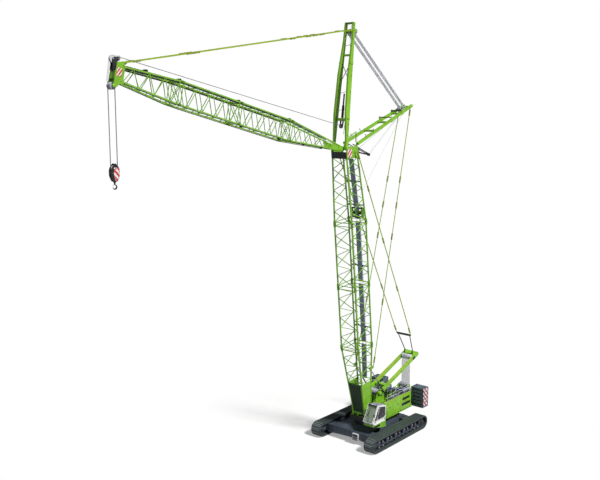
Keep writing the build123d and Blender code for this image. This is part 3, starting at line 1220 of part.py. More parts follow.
def build_jib():
    write("jib_foot_section", jib_foot())
    write("jib_insert_inner", jib_insert(0))
    write("jib_insert_outer", jib_insert(1))
    write("jib_head_section", jib_head())
    write("jib_head_sheaves", jib_sheaves())
    write("jib_head_bracket", jib_head_bracket())
    write("jib_walkway", jib_walkway())
    write("front_strut", front_strut())
    write("jib_pendants", jib_pendants())
    write("front_strut_sheaves", strut_sheaves(FRONT_SHEAVE_POINT, REAR_SHEAVE_POINT, FRONT_ROWS,
                                               BRACKET_OUT[1] - 10))
    write("strut_reeving", strut_reeving())
    write("hoist_falls", hoist_falls())
    write("hook_block", hook_block())
    write("hook", hook())


def build_mast():
    write("mast", mast())
    write("mast_sheaves", mast_sheaves())
    write("luffing_reeving", luffing_reeving())


build_undercarriage()
build_upper()
build_boom()
build_jib()
build_mast()
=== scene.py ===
import json
from math import atan2, cos, degrees, pi, radians, sin

import bmesh
import bpy
from mathutils import Matrix, Vector


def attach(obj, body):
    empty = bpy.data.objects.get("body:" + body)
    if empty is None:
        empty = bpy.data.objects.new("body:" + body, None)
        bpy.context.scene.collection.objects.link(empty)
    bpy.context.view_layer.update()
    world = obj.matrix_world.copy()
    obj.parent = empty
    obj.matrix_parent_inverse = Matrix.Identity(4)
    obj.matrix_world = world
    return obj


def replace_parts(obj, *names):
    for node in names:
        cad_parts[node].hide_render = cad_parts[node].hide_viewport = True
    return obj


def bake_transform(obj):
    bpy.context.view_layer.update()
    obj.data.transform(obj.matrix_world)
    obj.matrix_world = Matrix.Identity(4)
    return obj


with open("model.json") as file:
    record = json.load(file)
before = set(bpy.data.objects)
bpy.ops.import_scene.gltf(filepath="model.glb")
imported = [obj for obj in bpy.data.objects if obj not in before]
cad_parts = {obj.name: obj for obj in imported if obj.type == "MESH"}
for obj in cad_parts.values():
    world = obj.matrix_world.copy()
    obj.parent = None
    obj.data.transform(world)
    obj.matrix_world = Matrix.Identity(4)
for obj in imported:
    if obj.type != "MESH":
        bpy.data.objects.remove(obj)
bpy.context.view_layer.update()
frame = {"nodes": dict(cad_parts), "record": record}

SIDES = (1, -1)  # left, right
UP = (0, 0, 1)


# ------------------------ node trees
class Nodes:
    """Adds nodes to a tree. An input takes a value or another node's output."""

    def __init__(self, tree):
        self.tree = tree

    def feed(self, inputs, values):
        for key, value in values.items():
            if isinstance(value, bpy.types.NodeSocket):
                self.tree.links.new(value, inputs[key])
            else:
                inputs[key].default_value = value

    def add(self, kind, values, output=0, **settings):
        made = self.tree.nodes.new("ShaderNode" + kind)
        for key, value in settings.items():
            setattr(made, key, value)
        self.feed(made.inputs, values)
        return made.outputs[output] if made.outputs else None

    def place(self):
        return self.add("TexCoord", {}, "Object")

    def noise(self, place, size, detail, rough=0.5):
        return self.add("TexNoise", {"Vector": place, "Scale": size, "Detail": detail, "Roughness": rough}, "Fac")

    def span(self, value, low, high, to_low, to_high):
        """Carries one range over to another and holds at its ends."""
        return self.add("MapRange", {"Value": value, "From Min": low, "From Max": high, "To Min": to_low,
                                     "To Max": to_high})

    def mix(self, share, a, b, kind="MIX"):
        return self.add("Mix", {0: share, 6: a, 7: b}, 2, data_type="RGBA", blend_type=kind)

    def mix_shaders(self, share, a, b):
        return self.add("MixShader", {0: share, 1: a, 2: b})

    def seen(self):
        """1 where the camera or a refraction looks, else 0."""
        rays = [self.add("LightPath", {}, ray) for ray in ("Is Camera Ray", "Is Transmission Ray")]
        return self.add("Math", {0: rays[0], 1: rays[1]}, operation="MAXIMUM")


def opaque(color):
    return tuple(color) + (1,)


def new_material(name):
    """A material, its node tree and the inputs of its surface shader."""
    m = bpy.data.materials.new(name)
    m.use_nodes = True
    return m, Nodes(m.node_tree), m.node_tree.nodes["Principled BSDF"].inputs


# ------------------------ camera, light and floor
bpy.context.scene.view_settings.view_transform = "Standard"
camera_data = bpy.data.cameras.new("camera")
camera = bpy.data.objects.new("camera", camera_data)
bpy.context.scene.collection.objects.link(camera)
camera.location = (62.307, 44.046, 31.168)
camera.rotation_euler = (radians(80.967), 0, radians(130.444))
camera_data.sensor_width = 36.0
camera_data.lens = 48.62856
camera_data.clip_end = 2000
bpy.context.scene.camera = camera


def sun(name, direction, strength, angle, color):
    """A far lamp whose light comes from the given direction."""
    data = bpy.data.lights.new(name, "SUN")
    data.energy, data.angle, data.color = strength, radians(angle), color
    lamp = bpy.data.objects.new(name, data)
    lamp.rotation_euler = Vector(direction).to_track_quat("Z", "Y").to_euler()
    bpy.context.scene.collection.objects.link(lamp)


sun("key", (-0.05, 0.72, 0.85), 4.1, 10, (1.0, 0.99, 0.97))
sun("fill", (0.9, -0.15, 0.35), 0.55, 40, (0.95, 0.98, 1.0))

WHITE_LIGHT = (1, 1, 1, 1)
world = bpy.data.worlds.new("studio")
bpy.context.scene.world = world
world.use_nodes = True
world.node_tree.nodes.clear()
w = Nodes(world.node_tree)
ambient = w.add("Background", {"Color": (0.93, 0.96, 1.0, 1), "Strength": 0.1})
backdrop = w.add("Background", {"Color": WHITE_LIGHT, "Strength": 1.0})
w.add("OutputWorld", {0: w.mix_shaders(w.seen(), ambient, backdrop)})


def floor_material():
    """White ground that shows the crane's shadow close by and fades into the backdrop."""
    m, t, _ = new_material("studio_floor")
    t.tree.nodes.clear()
    away = t.add("VectorMath", {0: t.place()}, "Value", operation="LENGTH")
    diffuse, plain = [t.add("BsdfDiffuse", {"Color": (grey, grey, grey, 1)}) for grey in (0.93, 0.35)]
    glow = t.add("Emission", {"Color": WHITE_LIGHT, "Strength": 1.0})
    ground = t.mix_shaders(t.span(away, 6.5, 19.0, 0.7, 0.0), glow, diffuse)
    t.add("OutputMaterial", {0: t.mix_shaders(t.seen(), plain, ground)})
    return m


FLOOR_REACH = 600
mesh = bpy.data.meshes.new("floor")
corners = [(x * FLOOR_REACH, y * FLOOR_REACH, 0) for x, y in ((-1, -1), (1, -1), (1, 1), (-1, 1))]
mesh.from_pydata(corners, [], [(0, 1, 2, 3)])
floor = bpy.data.objects.new("floor", mesh)
bpy.context.scene.collection.objects.link(floor)
mesh.materials.append(floor_material())
floor.location.z = -0.002

# ------------------------ materials
MATERIALS = {}


def surface(name, color, rough=0.4, metal=0.0, coat=0.0, broad=0.1, grime=0.25, dirt=(0.09, 0.085, 0.08),
            bump=0.15, grain=90.0):
    """A painted or bare metal: broad tone changes, fine dust and wear, a faint surface grain."""
    MATERIALS[name], t, shader = new_material(name)
    place = t.place()
    light, dark = [opaque(min(1.0, c * (1 + way * broad)) for c in color) for way in (1, -1)]
    tone = t.mix(t.span(t.noise(place, 0.9, 3, 0.55), 0.3, 0.7, 0, 1), dark, light)
    dust = t.span(t.noise(place, 7.0, 8, 0.7), 0.56, 0.8, 0, grime)
    gloss = t.span(t.noise(place, 14.0, 6, 0.55), 0.3, 0.7, max(0.03, rough - 0.09), min(1, rough + 0.12))
    skin = t.add("Bump", {"Strength": bump, "Distance": 0.004, "Height": t.noise(place, grain, 4, 0.55)})
    t.feed(shader, {"Base Color": t.mix(dust, tone, opaque(dirt)), "Metallic": metal, "Roughness": gloss,
                    "Coat Weight": coat, "Coat Roughness": 0.12, "Normal": skin})


def glass(name, color, alpha):
    """A tinted pane."""
    m, t, shader = new_material(name)
    dark, light = [opaque(min(1, c * share) for c in color) for share in (0.8, 1.15)]
    t.feed(shader, {"Base Color": t.mix(t.noise(t.place(), 1.3, 2.0), dark, light), "Roughness": 0.04, "Alpha": alpha,
                    "Coat Weight": 0.6})
    m.surface_render_method = "BLENDED"
    MATERIALS[name] = m


def stripes(name, first, direction, period):
    """A paint and white in slanting stripes, each with a little dirt."""
    MATERIALS[name], t, shader = new_material(name)
    place = t.place()
    across = t.add("VectorMath", {0: place, 1: [c / period for c in direction]}, "Value", operation="DOT_PRODUCT")
    wrap = t.add("Math", {0: across, 1: 1.0, 2: 0.0}, operation="WRAP")
    step = t.add("Math", {0: wrap, 1: 0.5}, operation="GREATER_THAN")
    dirt = t.span(t.noise(place, 9.0, 6.0, 0.7), 0.5, 0.8, 1.0, 0.72)
    paint = t.mix(step, opaque(first), (0.8, 0.79, 0.77, 1))
    t.feed(shader, {"Base Color": t.mix(1.0, paint, dirt, "MULTIPLY"), "Roughness": 0.35})


surface("shoe_steel", (0.055, 0.072, 0.072), 0.5, 0.1, grime=0.3, dirt=(0.12, 0.125, 0.12), bump=0.5, grain=30)
surface("undercarriage_paint", (0.06, 0.075, 0.105), 0.42, grime=0.3, dirt=(0.13, 0.12, 0.11))
surface("wheel_steel", (0.06, 0.062, 0.066), 0.45, 0.5, grime=0.4)
surface("ring_steel", (0.1, 0.1, 0.11), 0.35, 0.8)
surface("step_paint", (0.55, 0.56, 0.57))
surface("frame_paint", (0.2, 0.46, 0.025), 0.35, coat=0.3)
surface("panel_paint", (0.22, 0.5, 0.025), 0.3, coat=0.5, grime=0.08)
surface("weight_paint", (0.1, 0.135, 0.175), 0.55, grime=0.2, bump=0.35, grain=40)
surface("cab_paint", (0.82, 0.84, 0.83), 0.25, coat=0.5, grime=0.06)
surface("platform_paint", (0.03, 0.033, 0.035), 0.45)
surface("seat_cloth", (0.03, 0.03, 0.034), 0.9, bump=0.5, grain=400)
surface("machinery_paint", (0.13, 0.14, 0.17), grime=0.35)
surface("drum_paint", (0.2, 0.23, 0.34), 0.4, 0.3, grime=0.2)
surface("lattice_paint", (0.21, 0.48, 0.03), 0.35, coat=0.3, grime=0.15)
surface("strut_paint", (0.24, 0.53, 0.03), 0.33, coat=0.35, grime=0.1)
surface("pendant_paint", (0.3, 0.44, 0.03), grime=0.04)
surface("sheave_steel", (0.46, 0.47, 0.52), 0.4, 0.2)
surface("walkway_steel", (0.21, 0.25, 0.36), 0.5, 0.3, grime=0.3)
surface("rope_steel", (0.42, 0.44, 0.5), 0.55, 0.1, grime=0.15, grain=60)
surface("barrel_paint", (0.035, 0.04, 0.04), 0.35, coat=0.3)
surface("rod_steel", (0.62, 0.63, 0.66), 0.15, 0.95, grime=0.05, bump=0.02)
surface("block_paint", (0.02, 0.02, 0.022), grime=0.2)
surface("hook_steel", (0.02, 0.02, 0.022), 0.5, 0.1, grime=0.1)
glass("cab_window", (0.13, 0.15, 0.14), 0.45)
# further finishes, for trim
surface("black_paint", (0.018, 0.019, 0.02), 0.45, grime=0.15)
surface("bright_steel", (0.55, 0.56, 0.58), 0.28, 0.8, grime=0.1)
surface("pale_paint", (0.66, 0.68, 0.72), grime=0.2)
surface("lilac_paint", (0.3, 0.31, 0.44))
# a dark green that paints shade onto the boom foot's front plate
surface("shade_green", (0.02, 0.1, 0.02), 0.35, coat=0.4, grime=0.1)
surface("yellow_green", (0.36, 0.5, 0.03), 0.35, coat=0.3, grime=0.1)
surface("lamp_glass", (0.75, 0.78, 0.8), 0.12, coat=0.8, grime=0.02)
surface("rope_band", (0.9, 0.9, 0.97), 0.6, grime=0.03, broad=0.02)
surface("dark_rope", (0.2, 0.2, 0.23), 0.6, grime=0.1, grain=60)
surface("pendant_link", (0.24, 0.33, 0.03), grime=0.05)
surface("orange_lamp", (0.75, 0.22, 0.02), 0.2, coat=0.8, grime=0.03)
surface("grouser", (0.13, 0.15, 0.155), 0.4, 0.2, grime=0.3)
# a pale steel that paints highlights on the track shoes
surface("highlight_steel", (0.44, 0.47, 0.48), 0.4, 0.2)
glass("cab_clear_glass", (0.42, 0.52, 0.38), 0.45)
glass("cab_door_glass", (0.05, 0.045, 0.06), 0.55)
RED, CRIMSON = (0.62, 0.03, 0.025), (0.45, 0.015, 0.03)
stripes("hazard_block", RED, (0.72, 0, -0.69), 0.3)
stripes("hazard_head", RED, (0.75, 0, 0.66), 0.18)
stripes("hazard_cheek", RED, (0.75, 0, 0.66), 0.3)
stripes("hazard_weight", CRIMSON, (0.74, 0, -0.67), 0.33)

slots = {s["node"]: s["material_slot"] for s in frame["record"]["subparts"]}
for name, part in frame["nodes"].items():
    part.data.materials.clear()
    part.data.materials.append(MATERIALS[slots[name]])


# ------------------------ frames of the moving members
def leaning(x, z, angle):
    """A frame whose z axis rises at an angle above level, seen from the left."""
    return Matrix.Translation((x, 0, z)) @ Matrix.Rotation(radians(90 - angle), 4, "Y")


WORLD = Matrix.Identity(4)
BOOM = leaning(1.636, 1.97, 84.29)
JIB_PIN = (5.217647, 27.868207)
JIB = leaning(*JIB_PIN, 13.51)
FRONT = leaning(*JIB_PIN, 97.0)
REAR = leaning(3.490277, 28.344375, 159.75)
MAST = leaning(-0.55, 3.95, degrees(atan2(2.41, -6.65)))


def point_of(place, x, z, y=0.0):
    return place @ Vector((x, y, z))


# ------------------------ mesh building
def pair(side, a, b):
    """The lower and upper y of what lies between a and b, on one side of the crane."""
    return sorted((side * a, side * b))


def around(middle, half):
    return middle - half, middle + half


def circle(count, start=0.0):
    """Angles evenly round a circle."""
    return [2 * pi * (k + start) / count for k in range(count)]


def evenly(first, last, count):
    return [first + (last - first) * k / (count - 1) for k in range(count)]


class Shape:
    """Collects the faces of one piece. Every call adds closed surfaces in the given frame."""

    def __init__(self, place=WORLD):
        self.verts, self.faces, self.marks, self.place, self.mark = [], [], [], place, 0

    def rings(self, rings):
        """A skin over rings of points, with flat caps."""
        n, first = len(rings[0]), len(self.verts)
        faces = [(k + i, k + (i + 1) % n, k + n + (i + 1) % n, k + n + i)
                 for k in range(0, (len(rings) - 1) * n, n) for i in range(n)]
        faces += [tuple(reversed(range(n))), tuple(range((len(rings) - 1) * n, len(rings) * n))]
        self.verts += [self.place @ Vector(v) for ring in rings for v in ring]
        self.faces += [[first + i for i in face] for face in faces]
        self.marks += [self.mark] * len(faces)

    def box(self, x0, x1, y0, y1, z0, z1, bevel=0.0):
        """A block, its edges cut by bevel."""
        b = min(bevel, 0.3 * min(x1 - x0, y1 - y0, z1 - z0))
        if b <= 0:
            self.rings([[(x0, y0, z), (x1, y0, z), (x1, y1, z), (x0, y1, z)] for z in (z0, z1)])
            return
        rings = []
        for z, c in ((z0, b), (z0 + b, 0), (z1 - b, 0), (z1, b)):
            xs, ys = (x0 + c, x0 + c + b, x1 - c - b, x1 - c), (y0 + c, y0 + c + b, y1 - c - b, y1 - c)
            rings.append([(xs[i], ys[j], z)
                          for i, j in ((1, 0), (2, 0), (3, 1), (3, 2), (2, 3), (1, 3), (0, 2), (0, 1))])
        self.rings(rings)

    def plate(self, points, y0, y1):
        """A plate whose outline lies in XZ."""
        self.rings([[(x, y, z) for x, z in points] for y in (y0, y1)])

    def lathe(self, centre, axis, profile, sides=24):
        """A turned form: profile gives (distance along the axis, radius), from one end to the other."""
        centre, axis = Vector(centre), Vector(axis).normalized()
        side = axis.orthogonal().normalized()
        up = axis.cross(side)
        self.rings([[centre + axis * along + (side * cos(t) + up * sin(t)) * radius for t in circle(sides)]
                    for along, radius in profile])

    def turn(self, x, y, z, side, profile, sides=24):
        """A turned form that lies across the crane and grows outward to one side."""
        self.lathe((x, y, z), (0, side, 0), profile, sides)

    def pin(self, x, y, z, long, ends, radius, sides=12, lead=0.02):
        """A round bar across the crane, from y to the left, with smaller ends."""
        self.turn(x, y, z, 1, [(0, ends), (lead, radius), (long - lead, radius), (long, ends)], sides)

    def bar(self, a, b, wide, deep, across=(0, 1, 0)):
        """A rectangular bar between two points."""
        a, b, across = Vector(a), Vector(b), Vector(across)
        run = (b - a).normalized()
        side = (across - run * across.dot(run)).normalized() * wide / 2
        up = run.cross(side).normalized() * deep / 2
        self.rings([[p + side + up, p - side + up, p - side - up, p + side - up] for p in (a, b)])

    def path(self, points, radius, sides=8):
        """A round bar, rope or hose through points, mitred at each."""
        points = [Vector(p) for p in points]
        rings, side = [], None
        for k, p in enumerate(points):
            run = (points[min(k + 1, len(points) - 1)] - points[max(k - 1, 0)]).normalized()
            side = (side - run * side.dot(run)).normalized() if side else run.orthogonal().normalized()
            up = run.cross(side)
            rings.append([p + (side * cos(t) + up * sin(t)) * radius for t in circle(sides)])
        self.rings(rings)

    def hose(self, points, radius, sides=8):
        """A bar or hose through points in a smooth line."""
        pts = [Vector(p) for p in points]
        pts = [pts[0] * 2 - pts[1]] + pts + [pts[-1] * 2 - pts[-2]]
        line = []
        for a, b, c, d in zip(pts, pts[1:], pts[2:], pts[3:]):
            for t in [k / 6 for k in range(6)]:
                line.append(0.5 * (2 * b + (c - a) * t + (2 * a - 5 * b + 4 * c - d) * t * t
                                   + (3 * b - a - 3 * c + d) * t ** 3))
        self.path(line + [pts[-2]], radius, sides)

    def handle(self, x, y, z, half, tall, radius, inset=0.02):
        """A lifting eye or grab bar along x, from z up."""
        top = [(x - half + inset, y, z + tall), (x + half - inset, y, z + tall)]
        self.path([(x - half, y, z)] + top + [(x + half, y, z)], radius)

    def bolt(self, at, axis, radius=0.02, tall=0.018):
        """A hexagon head on its washer."""
        at, axis = Vector(at), Vector(axis).normalized()
        self.lathe(at, axis, [(0, radius * 1.35), (0.004, radius * 1.35)], 12)
        self.lathe(at + axis * 0.004, axis, [(0, radius), (tall * 0.8, radius), (tall, radius * 0.85)], 6)

    def bolt_ring(self, x, y, z, side, count, ring, radius, tall):
        """Bolts round a hub that lies across the crane."""
        for t in circle(count):
            self.bolt((x + ring * cos(t), y, z + ring * sin(t)), (0, side, 0), radius, tall)


def piece(name, shape, body, slot, *paints):
    """Makes one object from a shape. Its marks, from 0, take the named paints, or else the slot's own."""
    mesh = bpy.data.meshes.new(name)
    mesh.from_pydata([tuple(v) for v in shape.verts], [], shape.faces)
    for paint in paints or (slot,):
        mesh.materials.append(MATERIALS[paint])
    mesh.polygons.foreach_set("material_index", shape.marks)
    work = bmesh.new()
    work.from_mesh(mesh)
    bmesh.ops.recalc_face_normals(work, faces=work.faces)
    work.to_mesh(mesh)
    work.free()
    mesh.shade_smooth()
    mesh.set_sharp_from_angle(angle=radians(38))
    o = bpy.data.objects.new(name, mesh)
    bpy.context.scene.collection.objects.link(o)
    if body:
        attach(o, body)
    return o


# ------------------------ sheaves, drums and ropes
def sheave_profile(radius, half, hub, hub_half):
    """One rope sheave from side to side: hub, dished web, rim and rope groove."""
    web, rim = half * 0.45, radius - 0.055
    face = [(-hub_half, 0.03), (-hub_half, hub), (-web, hub), (-web, rim), (-half, rim + 0.008), (-half, radius),
            (-half * 0.55, radius - 0.006), (-half * 0.25, radius - 0.026)]
    return face + [(-along, r) for along, r in reversed(face)]


LUFF_ROWS = (-0.475, -0.285, -0.095, 0.095, 0.285, 0.475)
STRUT_ROWS = [side * y for side in (-1, 1) for y in (0.13, 0.228, 0.326, 0.424)]
REAR_ROWS = [side * y for side in (-1, 1) for y in (0.13, 0.228, 0.326)]
# a sheave shaft's centre in its member's frame
JIB_SHAFT, FRONT_SHAFT, REAR_SHAFT = (0.889, 24.785), (-0.36, 10.33), (0.06, 8.5)
MAST_SHAFT, DECK_SHAFT = (0.06, 6.3), (-6.05, 3.2)
SHEAVE_SETS = (
    # node, body, frame, then each row: mark, shaft centre, radius, places across, shaft radius, half shaft
    ("jib_head_sheaves", "jib", JIB, ((0, JIB_SHAFT, 0.245, (-0.165, -0.055, 0.055, 0.165), 0.06, 0.33),
                                      (1, (-0.84, 25.04), 0.24, (-0.055, 0.055), 0.04, 0.14),
                                      (1, (-0.99, 24.62), 0.18, (-0.055, 0.055), 0.04, 0.14))),
    ("front_strut_sheaves", "jib", FRONT, ((0, FRONT_SHAFT, 0.22, STRUT_ROWS, 0.04, 0.51),)),
    ("rear_strut_sheaves", "boom", REAR, ((0, REAR_SHAFT, 0.22, REAR_ROWS, 0.04, 0.557),)),
    ("mast_sheaves", "mast", MAST, ((1, MAST_SHAFT, 0.26, LUFF_ROWS, 0.05, 0.79),)),
    ("deck_sheaves", "upper", WORLD, ((0, DECK_SHAFT, 0.26, LUFF_ROWS, 0.05, 0.58),)),
)
for name, body, place, rows in SHEAVE_SETS:
    s = Shape(place)
    for s.mark, (x, z), radius, places, shaft, reach in rows:
        for y in places:
            s.turn(x, y, z, 1, sheave_profile(radius, 0.03, 0.1, 0.0345), 32)
        s.pin(x, -reach, z, 2 * reach, shaft * 0.7, shaft, 16, 0.01)
    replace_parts(piece(name + "_grooved", s, body, "sheave_steel", "sheave_steel", "pale_paint"), name)

DRUM_HALF, DRUM_TURNS = 0.45, 30
DRUM_SETS = (
    # node, x, z, rope radius, half shaft
    ("hoist_drum_front", -0.86, 3.8, 0.34, 0.588),
    ("hoist_drum_rear", -2.56, 3.9, 0.34, 0.902),
    ("luffing_drum", -3.9, 3.0, 0.26, 0.902),
)
for name, x, z, radius, reach in DRUM_SETS:
    s = Shape()
    step = 2 * DRUM_HALF / DRUM_TURNS
    profile = [(-DRUM_HALF, radius * 1.2)]
    for k in range(DRUM_TURNS):
        profile += [(-DRUM_HALF + step * (k + share), radius - depth)
                    for share, depth in ((0.02, 0.016), (0.28, 0.002), (0.72, 0.002), (0.98, 0.016))]
    s.turn(x, 0, z, 1, profile + [(DRUM_HALF, radius * 1.2)], 32)
    s.mark = 1
    for side in (-1, 1):
        s.pin(x, side * (DRUM_HALF + 0.02) - 0.02, z, 0.04, radius * 1.24, radius * 1.3, 40, 0.008)
        s.turn(x, side * (DRUM_HALF + 0.045), z, side,
               [(0, radius * 0.62), (0.03, radius * 0.55), (0.05, radius * 0.34)])
        s.bolt_ring(x, side * (DRUM_HALF + 0.04), z, side, 8, radius * 0.95, 0.018, 0.02)
    s.pin(x, -reach, z, 2 * reach, 0.05, 0.06, 16, 0.01)
    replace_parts(piece(name + "_wound", s, name, "drum_paint", "rope_steel", "drum_paint"), name)


def rope_rows(start, end, reach, rows, radius):
    """Straight ropes between two rows of sheaves, from above one row to below the other."""
    s = Shape()
    up = (end - start).normalized().cross(Vector((0, 1, 0)))
    a, b = start + up * reach, end - up * reach
    for y in rows:
        s.path([a + (b - a) * i / 12 + Vector((0, y, 0)) for i in range(13)], radius)
    return s


FRONT_SHEAVE, REAR_SHEAVE = point_of(FRONT, *FRONT_SHAFT), point_of(REAR, *REAR_SHAFT)
rows = [side * (0.112 + 0.0405 * k) for side in (-1, 1) for k in range(9)]
s = rope_rows(FRONT_SHEAVE, REAR_SHEAVE, 0.19, rows, 0.0162)
ropes = piece("strut_reeving_ropes", s, None, "rope_steel", "rope_band")
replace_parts(ropes, "strut_reeving")
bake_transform(ropes)

DECK_SHEAVE, MAST_SHEAVE = point_of(WORLD, *DECK_SHAFT), point_of(MAST, *MAST_SHAFT)
s = rope_rows(DECK_SHEAVE, MAST_SHEAVE, 0.22, [-0.495 + 0.045 * k for k in range(23)], 0.0125)
ropes = piece("luffing_reeving_ropes", s, None, "rope_steel", "rope_band")
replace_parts(ropes, "luffing_reeving")
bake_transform(ropes)

FALL, FALL_LONG, HOOK_DROP = point_of(JIB, *JIB_SHAFT), 5.03, 1.22
BLOCK_TOP = FALL.z - FALL_LONG
s = Shape()
for side in SIDES:
    for y in (-side * 0.085, -side * 0.025):
        s.path([(FALL.x + side * 0.236, y, z) for z in evenly(FALL.z - 0.02, BLOCK_TOP - 0.3, 9)], 0.015)
ropes = piece("hoist_fall_ropes", s, None, "rope_steel", "dark_rope")
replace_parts(ropes, "hoist_falls")
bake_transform(ropes)


# ------------------------ hook block and hook
def rounded(corners, radius):
    """An outline with its corners rounded."""
    out, points = [], [Vector(c) for c in corners]
    for before, here, after in zip(points[-1:] + points, points, points[1:] + points[:1]):
        reach = min(radius, (before - here).length * 0.45, (after - here).length * 0.45)
        a = here + (before - here).normalized() * reach
        c = here + (after - here).normalized() * reach
        out += [tuple(a * (1 - t) ** 2 + here * 2 * t * (1 - t) + c * t * t) for t in (0, 0.25, 0.5, 0.75, 1)]
    return out


s = Shape(Matrix.Translation((FALL.x, 0, BLOCK_TOP)))
outer = rounded([(-0.05, 0), (0.05, 0), (0.28, -0.26), (0.34, -0.45), (0.34, -0.82), (0.15, -1.2), (-0.15, -1.2),
                 (-0.34, -0.82), (-0.34, -0.45), (-0.28, -0.26)], 0.1)
painted = rounded([(-0.22, -0.26), (0.12, -0.26), (0.12, -0.95), (-0.02, -1.15), (-0.13, -1.15), (-0.32, -0.8),
                   (-0.32, -0.42)], 0.06)
core = [(x * 0.97, z * 0.99 - 0.02) for x, z in outer]
for side in SIDES:
    s.mark = 0
    s.plate([p for p in core if p[1] < -0.44] + [(-0.32, -0.44)], *pair(side, 0.035, 0.115))
    s.plate(outer, *pair(side, 0.115, 0.138))
    s.mark = 1
    s.plate(painted, *pair(side, 0.138, 0.142))
    s.mark = 2
    for x, z, r in ((0, -0.34, 0.07), (0, -0.98, 0.06), (0.22, -0.62, 0.03), (-0.22, -0.62, 0.03)):
        s.turn(x, side * 0.142, z, side, [(0, r), (0.004, r), (0.008, r * 0.7)], 16)
s.mark = 3
s.turn(0, 0, -0.34, 1, sheave_profile(0.25, 0.033, 0.08, 0.06), 32)
s.mark = 0
for x in (-0.3, 0.3):
    s.box(*around(x, 0.035), -0.112, 0.112, -0.7, -0.46, 0.01)
s.box(-0.14, 0.14, -0.08, 0.08, -0.07, -0.015, 0.01)
s.lathe((0, 0, -1.15), (0, 0, -1), [(0, 0.13), (0.05, 0.13), (0.068, 0.11)], 20)
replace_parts(piece("hook_block_built", s, "hook_block", "block_paint", "block_paint", "hazard_block", "bright_steel",
                  "sheave_steel"), "hook_block")

s = Shape(Matrix.Translation((FALL.x, 0, BLOCK_TOP - HOOK_DROP)))
s.lathe((0, 0, 0.17), (0, 0, -1), [(0, 0.04), (0.16, 0.045), (0.17, 0.078), (0.25, 0.078), (0.26, 0.055), (0.3, 0.05)])
BOWL_STEPS, TIP_START = 24, 18
sections = []
for k in range(BOWL_STEPS + 1):
    turn = radians(95 + 265 * k / BOWL_STEPS)
    swell = 0.5 - 0.5 * cos(2 * pi * min(1, k / 22))
    taper = 1.0 - 0.11 * max(0, k - TIP_START)
    wide, deep = (0.03 + 0.024 * swell) * taper, (0.036 + 0.02 * swell) * taper
    mid = Vector((cos(turn), 0, sin(turn)))
    sections.append([Vector((0, 0, -0.33)) + mid * (0.148 + cos(a) * deep) + Vector((0, sin(a) * wide, 0))
                     for a in circle(12)])
s.rings(sections)
s.rings([[(r * cos(a), 0.8 * r * sin(a), z) for a in circle(12)]
         for z, r in ((-0.09, 0.05), (-0.14, 0.055), (-0.2, 0.05))])
s.path([(0.06, 0, -0.17), (0.12, 0.0, -0.21), (0.165, 0, -0.29)], 0.011)
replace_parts(piece("hook_forged", s, "hook", "hook_steel"), "hook")


# ------------------------ boom and jib details
def tapered(levels, foot, body, head):
    """A measure along a lattice: it changes from foot to body, holds, and changes to its head."""
    low, first, last, top = levels

    def at(z):
        if z < first:
            return foot + (body - foot) * (z - low) / (first - low)
        return body if z < last else body + (head - body) * (z - last) / (top - last)

    return at


# chord centres and half widths at a height in the member's frame
BOOM_LEVELS, JIB_LEVELS = (0.35, 7.26, 19.26, 25.46), (0.32, 7.456, 19.456, 24.3)
boom_rear = tapered(BOOM_LEVELS, -0.8, -1.0695, -0.4905)
boom_front = tapered(BOOM_LEVELS, 0.13, 1.0695, 1.0695)
boom_half = tapered(BOOM_LEVELS, 0.63, 0.982, 0.8)
jib_upper = tapered(JIB_LEVELS, -0.165, -0.8155, -0.5)
jib_lower = tapered(JIB_LEVELS, 0.165, 0.8155, 0.47)
jib_half = tapered(JIB_LEVELS, 0.38, 0.592, 0.28)

for name, body, place, levels, depth, half, size in (
        ("boom_connector_pins", "boom", BOOM, (7.26, 13.26, 19.26), 1.0695, 0.982, 0.17),
        ("jib_connector_pins", "jib", JIB, (7.456, 13.456, 19.456), 0.8155, 0.592, 0.135)):
    # pins through the chords' ends, with head, collar and locking clips
    s = Shape(place)
    profile = [(0, size * 0.2), (0.01, size * 0.3), (size * 0.14, size * 0.3), (size * 0.14, size * 0.22),
               (size * 1.18, size * 0.22), (size * 1.18, size * 0.3), (size * 1.3, size * 0.3),
               (size * 1.32, size * 0.2)]
    for z in levels:
        for x, y in ((-depth, half), (-depth, -half), (depth, half), (depth, -half)):
            for at in around(z, size * 0.8):
                s.turn(x, y - size * 0.66, at, 1, profile, 12)
            for at in around(z, 0.02):
                s.box(*around(x, size * 0.54), *around(y, size * 0.54), *around(at, 0.012))
    piece(name, s, body, "sheave_steel", "black_paint")


def grating(shape, chord, z0, z1, half, back, pitch=0.24):
    """A catwalk's side rails and treads along a lattice's outer face."""
    for y in (half, -half):
        shape.bar((chord(z0) - back, y, z0), (chord(z1) - back, y, z1), 0.03, 0.07)
    for z in evenly(z0, z1, max(2, round((z1 - z0) / pitch)) + 1):
        x = chord(z) - back - 0.012
        shape.bar((x, -half, z), (x, half, z), 0.035, 0.02, UP)


s = Shape(BOOM)
for z0, z1 in ((3.72, 7.12), (7.4, 13.12), (13.4, 19.12), (19.4, 25.02)):
    grating(s, boom_rear, z0, z1, 0.235, 0.075)
piece("boom_catwalk_treads", s, "boom", "walkway_steel")
s = Shape(JIB)
for z0, z1 in ((7.7, 13.3), (13.6, 19.3)):
    grating(s, jib_upper, z0, z1, 0.185, 0.06)
for z0, z1 in ((2.2, 7.2), (19.7, 24.0)):
    # a black strip under the catwalk on the foot and head sections: painted shade
    s.mark = 1
    s.bar((jib_upper(z0) - 0.055, 0, z0), (jib_upper(z1) - 0.055, 0, z1), 0.36, 0.035)
    s.mark = 0
    grating(s, jib_upper, z0, z1, 0.185, 0.08)
piece("jib_catwalk_treads", s, "jib", "walkway_steel", "black_paint", "walkway_steel")
